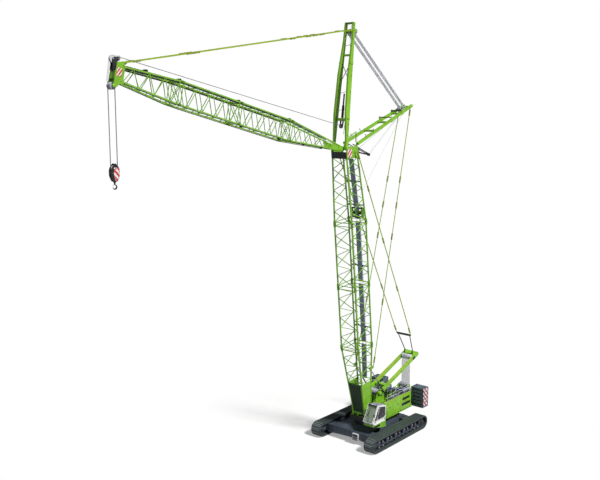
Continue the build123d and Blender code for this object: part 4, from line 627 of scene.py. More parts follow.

# dark bars along the jib's chords: painted shade under the chords
s = Shape(JIB)
for side in SIDES:
    for chord, below, deep, z0, z1 in ((jib_upper, 0.11, 0.095, 7.6, 24.0), (jib_lower, 0.09, 0.045, 2.0, 24.0)):
        line = [(chord(z) + below, side * (jib_half(z) + 0.005), z) for z in evenly(z0, z1, 17)]
        for p, q in zip(line, line[1:]):
            s.bar(p, q, 0.03, deep)
piece("jib_chord_shade_bars", s, "jib", "platform_paint", "black_paint")


def lug(shape, x0, x1, z, half0, half1, y):
    """A thin plate across a roller's end, wider at one edge."""
    shape.plate([(x0, z - half0), (x1, z - half1), (x1, z + half1), (x0, z + half0)], *around(y, 0.012))


# rope rollers and guides across the boom's rear face, and the guide frame below the head
s = Shape(BOOM)
for z in (20.72, 22.92, 14.9, 8.9):
    x, half = boom_rear(z) - 0.16, boom_half(z)
    s.pin(x, -half * 0.86, z, 2 * half * 0.86, 0.035, 0.055)
    for y in (-half * 0.9, half * 0.9, -0.3, 0.3):
        lug(s, x - 0.05, x + 0.12, z, 0.05, 0.11, y)
z0, z1 = 19.56, 20.38
s.mark = 1
for y in (-0.62, 0.0, 0.62):
    for x in (-1.22, -0.98):
        s.box(*around(x, 0.05), *around(y, 0.05), z0, z1)
    for z in (z0 + 0.04, z1 - 0.04):
        s.box(-1.22, -0.9, *around(y, 0.045), *around(z, 0.045))
for z in (z0, (z0 + z1) / 2, z1):
    s.mark = 1
    s.box(-1.27, -1.19, -0.66, 0.66, *around(z, 0.07))
    s.mark = 0
    s.turn(-1.1, -0.6, z, 1, [(0, 0.06), (1.2, 0.06)], 14)
for y in (-0.45, -0.25, 0.25, 0.45):
    s.turn(-1.1, y - 0.03, 19.98, 1, sheave_profile(0.17, 0.03, 0.05, 0.035), 20)
piece("boom_rope_guides", s, "boom", "platform_paint", "black_paint", "lattice_paint")

# the guide arm behind the boom's head and the ladder bracket beside it
s = Shape(BOOM)
s.mark = 1
for y in (0.25, -0.25):
    s.bar((-0.62, y, 26.35), (-3.3, y * 0.4, 25.05), 0.05, 0.07)
    s.bar((-0.66, y, 25.75), (-3.25, y * 0.4, 25.02), 0.05, 0.07)
    s.bar((-1.5, y * 0.85, 25.95), (-1.55, y * 0.85, 25.48), 0.04, 0.06)
s.pin(-3.3, -0.14, 25.03, 0.28, 0.05, 0.13, 18, 0.04)
s.mark = 0
for y in (0.5, 0.36):
    s.path([(0.36, y, 26.3), (0.36, y, 27.0), (-0.98, y, 27.42), (-0.9, y, 26.5)], 0.03)
for k in range(5):
    s.path([(0.36, y, 26.4 + 0.18 * k) for y in (0.36, 0.5)], 0.018, 6)
piece("boom_head_guide_arm", s, "boom", "lattice_paint", "lattice_paint", "black_paint")


# head cheeks: hazard plates, edge rims, bosses round the pins, the dark front plate's ribs
s = Shape(BOOM)
for side in SIDES:
    s.mark = 1
    s.plate([(0.38, 25.36), (1.0, 25.42), (1.0, 26.1), (0.38, 26.1)], *pair(side, 0.861, 0.872))
    s.mark = 0
    s.turn(-0.12, side * 0.86, 25.75, side, [(0, 0.15), (0.03, 0.15), (0.04, 0.1275)])
    for k in range(6):
        s.bolt((-0.35 + 0.12 * k, side * 0.86, 25.3), (0, side, 0), 0.02, 0.02)
    s.box(1.09, 1.13, *pair(side, 0.8, 0.884), 25.36, 26.3)
    s.box(-0.56, -0.5, *pair(side, 0.8, 0.884), 25.15, 26.1)
s.mark = 2
for y in evenly(-0.64, 0.64, 5):
    s.box(1.165, 1.19, *around(y, 0.02), 25.3, 25.86)
s.box(1.165, 1.2, -0.78, 0.78, 25.56, 25.6)
piece("boom_head_fittings", s, "boom", "lattice_paint", "lattice_paint", "hazard_cheek", "black_paint")

# foot section: ribs, edge strips, dark panels painted on the plated part as shade, and its bolts
s = Shape(BOOM)
s.mark = 1
for share in evenly(-0.78, 0.78, 7):
    s.bar(*[(boom_front(z) + 0.035, share * boom_half(z), z) for z in (0.5, 3.55)], 0.05, 0.05)
for z in (0.62, 3.58):
    s.bar(*[(boom_front(z) + 0.04, side * boom_half(z), z) for side in (-1, 1)], 0.06, 0.05, UP)
# dark green panels over the front plate: painted shade
s.mark = 2
PANELS = ((-0.97, -0.79), (-0.77, -0.53), (-0.51, -0.27), (-0.25, -0.01), (0.01, 0.25), (0.27, 0.51), (0.53, 0.77))
for left, right in PANELS:
    s.rings([[(boom_front(z) + out, share * boom_half(z), z)
              for z, share in ((0.45, left), (0.45, right), (3.5, right), (3.5, left))] for out in (0.014, 0.02)])
s.mark = 0
for side in SIDES:
    for z in (1.2, 2.2, 3.2):
        y = side * (boom_half(z) + 0.02)
        s.bar((boom_front(z), y, z), (boom_rear(z), y, z), 0.04, 0.06, UP)
    for z in evenly(0.8, 3.2, 9):
        s.bolt((boom_front(z) - 0.05, side * (boom_half(z) + 0.012), z), (0, side, 0), 0.016)
piece("boom_foot_ribs", s, "boom", "lattice_paint", "lattice_paint", "shade_green", "black_paint")

# cables up the boom's left front side, clipped at each bay
s = Shape(BOOM)
for back, out in ((0.09, -0.02), (0.12, 0.01), (0.09, 0.03)):
    s.path([(boom_front(z) - back, boom_half(z) + out, z) for z in evenly(3.6, 24.6, 31)], 0.013, 6)
for z in evenly(4.0, 24.4, 21):
    s.box(boom_front(z) - 0.15, boom_front(z) - 0.04, *around(boom_half(z), 0.05), *around(z, 0.025))
piece("boom_cables", s, "boom", "platform_paint", "black_paint")


# ------------------------ joints in pendants and guys
def knuckle(shape, a, b, share, half=0.3):
    """A pinned joint between two lengths of a flat pendant bar: two side links on two pins."""
    run, mid = (b - a).normalized() * half, a.lerp(b, share)
    for y in (0.03, -0.03):
        off = Vector((0, y, 0))
        shape.bar(mid - run + off, mid + run + off, 0.022, 0.15)
    for end in (-0.78, 0.78):
        p = mid + run * end
        shape.pin(p.x, p.y - 0.07, p.z, 0.14, 0.02, 0.035, 10, 0.01)


def pendant_end(side):
    """A boom pendant's upper and lower end."""
    top = point_of(BOOM, -0.12, 25.75, side * 1.12)
    return top, top.lerp(Vector((-6.768, side * 0.808, 6.661)), 0.9026)


for name, body, ends, shares in (
    ("jib_pendant_links", "jib", [(point_of(FRONT, 0.06, 10.385, side * 0.55),
                                   point_of(JIB, -0.806, 24.17, side * 0.37))
                                  for side in SIDES], (0.04, 0.18, 0.215, 0.25, 0.33, 0.75, 0.775, 0.965)),
    ("strut_guy_links", "boom", [(point_of(REAR, 0, 9.18, side * 0.605), point_of(BOOM, -1.06, 4.95, side * 1.04))
                                 for side in SIDES], (0.02, 0.28, 0.38, 0.5, 0.75, 0.97)),
    ("boom_pendant_links", "boom_pendants", [pendant_end(side) for side in SIDES], (0.02, 0.18, 0.45, 0.72, 0.97)),
):
    s = Shape()
    for a, b in ends:
        for share in shares:
            knuckle(s, a, b, share)
    piece(name, s, body, "pendant_paint", "pendant_link")

# ------------------------ jib head, struts and their ropes
s = Shape(JIB)
for side in SIDES:
    s.mark = 1
    s.box(-0.35, 0.2, *pair(side, 0.3105, 0.32), 24.36, 24.76)
    s.mark = 0
    for x, z, r in ((*JIB_SHAFT, 0.11), (-0.806, 24.17, 0.09), (0.45, 24.3, 0.06), (-0.6, 24.28, 0.06)):
        s.turn(x, side * 0.31, z, side, [(0, r), (0.03, r), (0.045, r * 0.8)], 20)
    for x0, z0, x1, z1 in ((-0.64, 24.83, -0.15, 24.83), (0.45, 24.2, 0.63, 24.36), (0.63, 24.36, 0.92, 24.6)):
        s.bar((x0, side * 0.32, z0), (x1, side * 0.32, z1), 0.03, 0.03)
s.mark = 2
for z in (24.42, 24.6, 24.76):
    s.box(0.3, 0.42, -0.24, 0.24, *around(z, 0.03))
s.box(-0.45, 0.35, -0.245, 0.245, 24.7, 24.74)
for y in (0.27, -0.27):
    s.box(0.62, 0.78, *around(y, 0.02), 24.82, 24.9)
s.path([(-0.55, 0.2, 24.9), (-0.3, 0.22, 25.0), (0.1, 0.2, 24.93), (0.5, 0.2, 24.9)], 0.02)
s.lathe((-0.1, 0.0, 24.86), UP, [(0, 0.05), (0.02, 0.07), (0.1, 0.07), (0.12, 0.05)], 16)
piece("jib_head_fittings", s, "jib", "lattice_paint", "lattice_paint", "hazard_head", "black_paint")

# rope rollers under the jib and on its upper face
s = Shape(JIB)
for z in (3.0, 5.5, 8.6, 13.0):
    x, half = jib_lower(z) + 0.11, jib_half(z)
    s.pin(x, half - 0.22, z, 0.2, 0.03, 0.07)
    for y in (half - 0.23, half - 0.01):
        s.box(x - 0.1, x + 0.02, *around(y, 0.02), *around(z, 0.05))
for z in (7.3, 13.3, 19.3, 22.3):
    x = jib_upper(z) - 0.2
    s.pin(x, -0.2, z, 0.4, 0.03, 0.06)
    for y in (-0.22, 0.22):
        lug(s, x - 0.04, x + 0.18, z, 0.04, 0.1, y)
piece("jib_rope_rollers", s, "jib", "platform_paint", "black_paint")

# the hoist rope, over the jib head's upper sheaves and back to the front strut
s = Shape()
for y in (0.055, -0.055):
    over = [point_of(JIB, -0.84 - 0.225 * sin(t), 25.04 + 0.225 * cos(t), y)
            for t in [0.2 + 0.18 * k for k in range(8)]]
    drop = [point_of(JIB, 1.089, 24.9, y), point_of(JIB, 0.6, 25.16, y)]
    s.path(drop + over + [point_of(FRONT, 0.24, 2.05, y)], 0.012)
piece("hoist_rope", s, "jib", "rope_steel", "dark_rope")


def leg_centre(foot, head, tall):
    """Where a strut's leg runs across the crane at a height, from its widths at foot and head."""
    return lambda z: (foot + (head - foot) * z / tall) / 2


front_leg, rear_leg = leg_centre(1.406, 0.818, 11.05), leg_centre(1.55, 0.88, 9.75)
LEG_FACE = 0.085
s = Shape(FRONT)
s.mark = 1
for y in (0.055, -0.055):
    s.turn(0.05, y - 0.03, 2.0, 1, sheave_profile(0.2, 0.03, 0.06, 0.04))
s.mark = 0
for y in (0.13, -0.13):
    s.plate([(-0.1, 2.5), (0.12, 2.5), (0.12, 1.9), (-0.02, 1.9)], *around(y, 0.012))
s.lathe((0.0, 0.0, 2.72), UP, [(0, 0.05), (0.05, 0.11), (1.1, 0.11), (1.12, 0.07), (2.1, 0.07), (2.14, 0.04)], 14)
for side in SIDES:
    s.mark = 2
    for z in (7.5, 2.7):
        y = front_leg(z) + LEG_FACE
        s.box(-0.12, 0.3, *pair(side, y, y + 0.05), *around(z, 0.09), 0.01)
    s.mark = 0
    for z in (1.2, 2.2, 5.0, 6.4, 9.6, 10.8):
        s.bolt((0.0, side * (front_leg(z) + LEG_FACE), z), (0, side, 0), 0.03, 0.03)
for side in SIDES:
    s.path([(0.05, side * 0.42, 7.45), (0.05, side * -0.4, 6.0)], 0.03)
for z in (3.4, 4.9, 9.0, 9.9):
    s.path([(-0.06, 0.45, z), (-0.02, 0.1, z + 0.12), (-0.06, -0.45, z)], 0.022, 6)
s.hose([(-0.1, 0.2, 1.3), (-0.1, 0.3, 3.4), (-0.1, 0.12, 5.0), (-0.12, 0.25, 7.6), (-0.12, 0.05, 9.8),
        (-0.1, 0.1, 10.8)], 0.018, 6)
s.box(-0.14, 0.14, -0.34, 0.34, 10.96, 11.04, 0.01)
s.box(-0.18, -0.13, -0.5, 0.5, 2.48, 2.72, 0.01)
piece("front_strut_fittings", s, "jib", "strut_paint", "black_paint", "sheave_steel", "strut_paint")

s = Shape(REAR)
for z, x1 in ((5.75, 0.36), (7.75, 0.3)):
    half = rear_leg(z) + 0.09
    s.mark = 1
    for side in SIDES:
        s.plate([(-0.16, z - 0.22), (-0.16, z + 0.22), (x1, z + 0.1), (x1, z - 0.1)], *pair(side, half, half + 0.03))
    s.mark = 0
    s.turn(x1 - 0.08, -half, z, 1, [(0, 0.05), (2 * half, 0.05)], 12)
for z in (1.2, 2.55):
    for y in (rear_leg(z) + 0.09, -rear_leg(z) - 0.09):
        s.path([(0.13, y, z), (0.34, y, z + 0.03), (0.4, y, z - 0.1)], 0.028)
for z in (3.0, 5.2, 7.5, 9.4):
    for side in SIDES:
        for front in SIDES:
            s.bolt((front * 0.132, side * rear_leg(z), z), (front, 0, 0), 0.03, 0.03)
s.hose([(-0.1, 0.3, 0.8), (-0.1, 0.2, 3.1), (-0.1, 0.3, 5.3), (-0.1, 0.1, 8.0)], 0.02, 6)
s.mark = 1
for side in SIDES:
    s.box(-0.14, 0.14, *pair(side, rear_leg(9.45) - 0.09, rear_leg(9.45) + 0.1), 9.1, 9.74, 0.015)
piece("rear_strut_fittings", s, "boom", "strut_paint", "black_paint", "strut_paint")

# jib luffing ropes from the rear strut down the boom's rear, hoist ropes beside them, two to the guide arm
s = Shape()
for y, start, z, back in ((0.11, (REAR, -0.17, 8.5), 25.5, 0.2), (0.22, (REAR, -0.17, 8.5), 21.3, 0.2),
                          (-0.12, (BOOM, -0.7, 26.2), 22.9, 0.24), (-0.24, (BOOM, -0.7, 26.2), 22.9, 0.24)):
    s.path([point_of(*start, y)] + [point_of(BOOM, boom_rear(low) - off, low, y)
                                    for low, off in ((z, back), (20.0, 0.26), (8.9, 0.24), (3.9, 0.2))], 0.012, 6)
for y in (0.06, -0.06):
    s.path([point_of(REAR, -0.17, 8.5, y)] + [point_of(BOOM, x, z, y)
                                              for x, z in ((-3.42, 25.08), (-3.28, 25.17), (-0.7, 26.22))], 0.012, 6)
piece("boom_rear_ropes", s, "boom", "rope_steel")

# mast fittings, with yellow-green strips painted on its upper face as highlights
s = Shape(MAST)
for side in SIDES:
    for z in (0.6, 2.4, 3.8, 5.2):
        s.bolt((0.0, side * 0.8, z), (0, side, 0), 0.03, 0.03)
    s.mark = 1
    # yellow-green strip on the mast's upper face: painted highlight
    s.box(0.165, 0.19, *around(side * 0.7, 0.11), 1.5, 5.9, 0.008)
    s.mark = 0
    s.box(-0.1, 0.12, *pair(side, 0.8, 0.86), 6.1, 6.5, 0.012)
s.box(-0.13, -0.09, -0.6, 0.6, 6.55, 6.68, 0.01)
s.pin(-0.3, -0.6, 6.35, 1.2, 0.03, 0.05)
for y in (-0.6, 0.0, 0.6):
    lug(s, -0.35, -0.12, 6.35, 0.05, 0.15, y)
piece("mast_fittings", s, "mast", "strut_paint", "black_paint", "yellow_green")

# ------------------------ cab
# its outline seen from the left, from the rear foot round to the roof's rear edge
CAB_LINE = [(0.98, 2.1), (2.84, 2.1), (3.1, 2.33), (2.22, 3.8), (0.98, 3.52)]
CAB_LEFT, CAB_RIGHT, DOOR_Y = 2.415, 1.425, 2.488


def frame_bars(shape, line, y, wide, deep):
    """Rounded bars along a closed outline at one y."""
    for (x0, z0), (x1, z1) in zip(line, line[1:] + line[:1]):
        shape.bar((x0, y, z0), (x1, y, z1), wide, deep)
        shape.turn(x0, y - wide / 2, z0, 1, [(0, deep / 2), (wide, deep / 2)], 12)


s = Shape()
for y in (CAB_LEFT, CAB_RIGHT):
    frame_bars(s, CAB_LINE, y, 0.06, 0.08)
for x, z in CAB_LINE:
    s.turn(x, CAB_RIGHT, z, 1, [(0, 0.042), (CAB_LEFT - CAB_RIGHT, 0.042)], 12)
s.plate([(1.0, 3.5), (2.2, 3.77), (2.19, 3.815), (0.99, 3.545)], 1.4, 2.44)
s.mark = 4
s.plate([(1.02, 3.555), (2.16, 3.81), (2.155, 3.825), (1.015, 3.57)], 1.45, 2.4)
s.mark = 0
s.box(0.97, 2.85, 1.41, 2.43, 2.062, 2.11)
s.box(0.955, 0.995, 1.43, 2.41, 2.1, 2.74)
s.plate([(0.98, 2.1), (2.84, 2.1), (3.06, 2.3), (2.95, 2.5), (0.98, 2.62)], 1.395, 1.425)
s.plate([(2.9, 2.12), (3.09, 2.31), (3.05, 2.37), (2.87, 2.2)], 1.43, 2.41)
for y in (1.75, 2.1):
    s.bar((1.0, y, 3.55), (2.2, y, 3.82), 0.02, 0.03)
# black seals, wiper, mirrors and lamp housings
s.mark = 1
for y0, y1 in ((1.46, 1.9), (1.94, 2.38)):
    s.box(2.25, 2.3, y0, y1, 3.8, 3.835, 0.01)
s.plate([(2.18, 3.68), (2.36, 3.7), (2.3, 3.8), (2.2, 3.8)], 1.45, 2.39)
for y in (1.47, 2.37):
    s.bar((3.08, y, 2.38), (2.25, y, 3.76), 0.025, 0.03)
for x, z in ((3.1, 2.38), (0.965, 2.77), (0.965, 3.44)):
    s.bar((x, 1.47, z), (x, 2.37, z), 0.03, 0.03, (0, 0, 1))
s.path([(3.09, 1.92, 2.4), (2.98, 1.9, 2.62), (2.62, 1.72, 3.22)], 0.012, 6)
s.bar((2.88, 1.7, 2.82), (2.44, 1.76, 3.5), 0.02, 0.03)
s.path([(3.0, 2.46, 2.62), (3.08, 2.62, 2.72), (3.08, 2.64, 3.0)], 0.014, 6)
s.box(3.05, 3.1, 2.56, 2.7, 3.0, 3.28, 0.012)
s.path([(3.05, 1.38, 2.5), (3.1, 1.25, 2.7), (3.1, 1.24, 2.92)], 0.014, 6)
s.box(3.07, 3.12, 1.17, 1.3, 2.92, 3.16, 0.012)
for y in (1.55, 2.28):
    s.mark = 1
    s.box(2.12, 2.2, *around(y, 0.02), 3.8, 3.86)
    s.lathe((2.12, y, 3.9), (1, 0, -0.25), [(0, 0.05), (0.1, 0.075), (0.12, 0.07)], 16)
    s.mark = 2
    s.lathe((2.238, y, 3.873), (1, 0, -0.25), [(0, 0.06), (0.006, 0.055)], 16)
s.mark = 3
s.lathe((1.15, 1.55, 3.57), UP, [(0, 0.05), (0.12, 0.05), (0.15, 0.03)], 14)
shell = piece("cab_shell_framed", s, "upper", "cab_paint",
              "cab_paint", "black_paint", "lamp_glass", "orange_lamp", "lilac_paint")
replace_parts(shell, "cab_shell")

s = Shape()
s.rings([[(x + d, y, z + 0.6 * d) for d, y in ((0, 1.46), (0, 2.38), (-0.008, 2.38), (-0.008, 1.46))]
         for x, z in ((3.085, 2.36), (2.225, 3.785))])
s.box(0.966, 0.974, 1.46, 2.38, 2.76, 3.46)
s.plate([(1.03, 2.64), (2.93, 2.52), (2.19, 3.74), (1.03, 3.49)], 1.408, 1.416)
s.plate([(2.885, 2.16), (3.075, 2.33), (3.07, 2.345), (2.88, 2.17)], 1.46, 2.38)
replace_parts(piece("cab_panes", s, "upper", "cab_window", "cab_clear_glass"), "cab_glass")

# the sliding door: a white frame whose rear foot is cut away, two panes, handle and rail
s = Shape()
frame_bars(s, [(1.5, 2.14), (2.82, 2.12), (3.07, 2.34), (2.22, 3.78), (1.0, 3.5), (1.0, 2.62)], DOOR_Y, 0.045, 0.085)
for x0, z0, x1, z1, deep in ((3.0, 2.36, 2.19, 3.7, 0.12), (1.28, 2.44, 2.98, 2.44, 0.06),
                             (2.44, 2.47, 1.98, 3.7, 0.055)):
    s.bar((x0, DOOR_Y, z0), (x1, DOOR_Y, z1), 0.04, deep)
s.plate([(1.42, 2.17), (2.8, 2.15), (2.95, 2.28), (2.93, 2.42), (1.2, 2.42)], 2.468, 2.495)
s.mark = 1
s.plate([(2.47, 2.5), (2.5, 2.5), (2.03, 3.72), (2.0, 3.72)], 2.47, 2.508)
s.box(1.12, 2.9, 2.5, 2.512, 2.425, 2.45)
s.path([(2.3, 2.5, 2.75), (2.3, 2.542, 2.8), (2.3, 2.542, 3.02), (2.3, 2.5, 3.07)], 0.012)
s.box(2.62, 2.7, 2.495, 2.512, 2.27, 2.36, 0.006)
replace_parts(piece("cab_door_framed", s, "cab_door", "cab_paint", "cab_paint", "black_paint"), "cab_door")
s = Shape()
s.plate([(1.03, 2.5), (2.46, 2.48), (1.98, 3.7), (1.03, 3.48)], 2.484, 2.49)
s.plate([(2.5, 2.48), (2.98, 2.46), (2.21, 3.74), (2.03, 3.72)], 2.484, 2.49)
piece("cab_door_panes", s, "cab_door", "cab_window", "cab_door_glass")

# seat with its bellows, consoles and levers, wheel column, screens and pedals
s = Shape()
x, y = 1.57, 1.92
s.box(*around(x, 0.2), *around(y, 0.17), 2.115, 2.4, 0.02)
for k in range(5):
    s.box(*around(x, 0.16), *around(y, 0.14), 2.16 + 0.045 * k, 2.185 + 0.045 * k)
s.mark = 1
for k in range(5):
    top = 2.532 if k in (0, 4) else 2.52
    s.box(*around(x - 0.205 + 0.1 * k, 0.045), *around(y, 0.25 - 0.008 * abs(k - 2)), 2.42, top, 0.03)
for side in SIDES:
    s.box(*around(x, 0.24), *around(y + side * 0.21, 0.04), 2.44, 2.55, 0.03)
for k in range(6):
    s.box(*around(x - 0.22 - 0.0075 * k, 0.05), *around(y, 0.22), 2.56 + 0.1 * k, 2.65 + 0.1 * k, 0.03)
s.box(*around(x - 0.29, 0.04), *around(y, 0.12), 2.99, 3.13, 0.03)
s.mark = 0
for beside in (y + 0.33, y - 0.33):
    s.box(x - 0.1, x + 0.34, *around(beside, 0.06), 2.3, 2.66, 0.02)
    s.path([(x + 0.22, beside, 2.65), (x + 0.24, beside, 2.8)], 0.012)
    s.lathe((x + 0.24, beside, 2.8), (0.1, 0, 1), [(0, 0.02), (0.03, 0.03), (0.09, 0.026), (0.11, 0.015)], 12)
    s.box(x - 0.05, x + 0.16, *around(beside, 0.04), 2.66, 2.68)
s.path([(2.75, 2.22, 2.15), (2.66, 2.22, 2.6), (2.62, 2.2, 2.9)], 0.02)
s.box(2.58, 2.62, 2.06, 2.34, 2.86, 3.08, 0.01)
s.box(2.6, 2.64, 1.5, 1.7, 2.8, 3.0, 0.01)
s.path([(2.85, 1.6, 2.15), (2.64, 1.6, 2.85)], 0.015)
for y in (1.74, 1.9, 2.06):
    s.bar((2.55, y, 2.14), (2.78, y, 2.28), 0.09, 0.02)
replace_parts(piece("cab_interior", s, "upper", "seat_cloth", "black_paint", "seat_cloth"), "cab_seat")

# platform under the cab: step plate, handrail and a strip on the skirt
s = Shape()
s.mark = 1
s.box(0.96, 2.9, 2.455, 2.505, 2.0, 2.035)
s.mark = 0
for z in (1.72, 1.9):
    s.path([(0.97, 2.515, z), (1.4, 2.515, z)], 0.014, 6)
s.path([(0.93, 2.49, 2.02), (0.9, 2.565, 2.04), (0.9, 2.57, 2.98), (0.9, 2.56, 3.02)], 0.018)
for x in evenly(1.22, 2.48, 4):
    s.box(*around(x, 0.02), 2.508, 2.516, 1.95, 2.04)
s.box(1.95, 2.9, 2.503, 2.516, 1.78, 2.0, 0.004)
piece("cab_platform_trim", s, "upper", "frame_paint", "black_paint", "frame_paint")

# ------------------------ side panels
s = Shape()
for side in SIDES:
    s.mark = 1
    s.plate([(-4.26, 3.4), (0.42, 3.4), (0.42, 3.44), (0.38, 3.475), (-4.22, 3.475), (-4.26, 3.44)],
            *pair(side, 1.8, 1.958))
    s.mark = 0
    s.box(-4.26, -4.2, *pair(side, 1.94, 1.956), 1.9, 3.38)
    s.box(0.34, 0.41, *pair(side, 1.94, 1.956), 1.84, 3.38)
    # louvred vents, seams, hinges and latches
    s.mark = 2
    for z, x0, x1 in ((2.98, -3.95, -2.75), (2.44, -4.1, -2.62)):
        for low in evenly(z - 0.09, z + 0.09, 5):
            s.bar((x0, side * 1.953, low), (x1, side * 1.953, low), 0.012, 0.026)
        s.box(x0 - 0.04, x1 + 0.04, *pair(side, 1.9505, 1.952), *around(z, 0.13))
    for x in (-2.4, -1.05, -0.1):
        s.box(*around(x, 0.006), *pair(side, 1.9502, 1.9525), 1.93, 3.34)
    for x in evenly(-4.05, 0.11, 9):
        s.box(*around(x, 0.06), *pair(side, 1.9505, 1.962), 1.93, 1.99, 0.003)
    for x in (-3.3, -1.9, -0.6):
        s.box(*around(x, 0.1), *pair(side, 1.951, 1.965), 2.7, 2.76, 0.004)
        for z in (2.12, 3.12):
            s.lathe((x + 0.42, side * 1.952, z), UP, [(0, 0.018), (0.12, 0.018)], 10)
piece("side_panel_trim", s, "upper", "panel_paint", "panel_paint", "yellow_green", "black_paint")

# ------------------------ engine, cooling pack, tanks and pumps
DECK = 2.05


def cover(shape, x0, x1, y0, y1, top):
    """A sheet-metal housing on the deck: walls, an overhanging lid and louvres on it."""
    shape.mark = 0
    shape.box(x0 + 0.03, x1 - 0.03, y0 + 0.03, y1 - 0.03, DECK, top - 0.05, 0.02)
    shape.mark = 1
    shape.box(x0, x1, y0, y1, top - 0.06, top, 0.025)
    shape.mark = 0
    for x in evenly(x0 + 0.12, x1 - 0.12, max(2, int((x1 - x0) / 0.12))):
        shape.bar((x, y0 + 0.15, top + 0.008), (x, y1 - 0.15, top + 0.008), 0.05, 0.016, (1, 0, 0))


s = Shape()
cover(s, -2.92, -2.1, 1.02, 1.84, 3.3)
cover(s, -2.06, -1.32, 1.02, 1.84, 3.18)
s.box(-4.18, -3.02, 1.02, 1.84, DECK, 3.72, 0.03)
s.mark = 1
s.box(-4.2, -3.0, 1.0, 1.86, 3.72, 3.83, 0.04)
s.mark = 2
for x in (-3.9, -3.3):
    s.lathe((x, 1.43, 3.83), UP, [(0, 0.25), (0.015, 0.25), (0.02, 0.22)], 28)
    for t in circle(8):
        s.bar((x, 1.43, 3.853), (x + 0.23 * cos(t), 1.43 + 0.23 * sin(t), 3.853), 0.012, 0.008, UP)
for x in evenly(-4.1, -3.11, 10):
    s.bar((x, 1.855, 2.3), (x, 1.855, 3.6), 0.05, 0.012, (1, 0, 0))
# silencer, its pipe, and the air filter
s.mark = 3
s.lathe((-2.55, 1.2, 3.3), UP, [(0, 0.11), (0.05, 0.13), (0.5, 0.13), (0.55, 0.07), (0.62, 0.07)], 20)
s.hose([(-2.55, 1.2, 3.88), (-2.55, 1.2, 4.0), (-2.62, 1.22, 4.1), (-2.78, 1.25, 4.14)], 0.06, 12)
s.lathe((-1.95, 1.3, 3.36), (1, 0, 0), [(0, 0.1), (0.02, 0.13), (0.44, 0.13), (0.46, 0.1)], 20)
s.mark = 4
for y in (1.02, 1.84):
    s.bar((-3.0, y, 3.34), (-1.3, y, 3.22), 0.05, 0.05)
s.bar((-1.3, 1.0, 3.2), (-1.3, 1.86, 3.2), 0.05, 0.05, (1, 0, 0))
housing = piece("engine_housing", s, "upper", "machinery_paint",
                "machinery_paint", "lilac_paint", "black_paint", "bright_steel", "frame_paint")
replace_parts(housing, "engine_block")

s = Shape()
for x0, x1, top in ((-3.4, -2.35, 3.28), (-2.3, -1.3, 3.05), (-1.25, -0.22, 3.22)):
    cover(s, x0, x1, -1.85, -1.02, top)
s.mark = 2
for x in (-2.9, -0.8):
    s.lathe((x, -1.3, 3.28), UP, [(0, 0.09), (0.03, 0.09), (0.05, 0.06)], 16)
    s.path([(x + 0.25, y, z) for y, z in ((-1.7, 3.26), (-1.7, 3.4), (-1.2, 3.4), (-1.2, 3.26))], 0.012)
covers = piece("tank_covers", s, "upper", "machinery_paint", "machinery_paint", "lilac_paint", "black_paint")
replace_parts(covers, "tank_housing")

# pumps, valve blocks and their hoses beside the left panel
s = Shape()
for x, y, z, long in ((-0.9, 1.35, 2.45, 0.7), (-0.9, 1.62, 2.45, 0.6), (-0.15, 1.3, 2.5, 0.5)):
    s.lathe((x - long / 2, y, z), (1, 0, 0), [(0, 0.11), (0.05, 0.14), (long * 0.5, 0.14), (long * 0.55, 0.18),
                                              (long * 0.7, 0.18), (long * 0.75, 0.12), (long, 0.1)], 20)
s.mark = 1
s.box(-1.2, -0.7, 1.2, 1.7, 2.59, 2.91, 0.03)
s.box(-0.46, -0.04, 1.14, 1.76, 2.66, 3.06, 0.03)
s.box(-0.005, 0.245, 1.05, 1.35, 1.95, 2.45, 0.03)
s.mark = 0
for k in range(6):
    y = 1.24 + 0.08 * k
    s.hose([(-1.18, y, 2.75), (-1.05, y + 0.02, 3.06), (-0.6, y + 0.05, 3.12 + 0.03 * (k % 3)), (-0.25, y, 3.05)],
           0.022)
for k in range(5):
    s.hose([(0.2, 1.5 + 0.05 * k, 2.5), (0.5, 1.35, 2.7 + 0.06 * k), (0.9, 1.0 + 0.03 * k, 2.9), (1.15, 0.97, 2.55)],
           0.02)
# winch motors at the drums' ends, and the plates under them
for side in SIDES:
    s.mark = 2
    for x, z, r, start, long in ((-0.86, 3.8, 0.2, 0.62, 0.17), (-2.56, 3.9, 0.22, 0.96, 0.34),
                                 (-3.9, 3.0, 0.2, 0.96, 0.34)):
        s.turn(x, side * start, z, side, [(0, r), (0.05, r), (0.08, r * 0.7), (long - 0.04, r * 0.66), (long, r * 0.4)],
               20)
        s.bolt_ring(x, side * (start + 0.052), z, side, 8, r * 0.85, 0.014, 0.016)
s.mark = 3
for side in SIDES:
    for x0, x1 in ((-4.35, -3.0), (-2.1, -0.2)):
        s.bar((x0, side * 0.89, 3.04), (x1, side * 0.89, 3.04), 0.2, 0.04)
piece("deck_machinery", s, "upper", "machinery_paint", "black_paint", "pale_paint", "drum_paint", "frame_paint")

# deck gratings, guard rails and the electric cabinet
s = Shape()
s.mark = 1
for side in SIDES:
    for x in evenly(-4.15, 0.1, 26):
        s.box(x, x + 0.12, *pair(side, 1.86, 1.935), 3.478, 3.492)
s.mark = 0
POSTS = (-4.1, -3.2, -2.2, -1.2, -0.2)
for y in (1.86, -1.86):
    for x in POSTS:
        s.path([(x, y, 3.47), (x, y, 4.05)], 0.016)
    for z in (3.78, 4.05):
        s.path([(POSTS[0], y, z), (POSTS[-1], y, z)], 0.014)
s.mark = 2
s.box(0.05, 0.28, -1.75, -1.1, 2.1, 3.1, 0.02)
s.box(0.29, 0.3, -1.5, -1.35, 2.55, 2.62)
piece("deck_rails", s, "upper", "walkway_steel", "pale_paint", "walkway_steel", "machinery_paint")
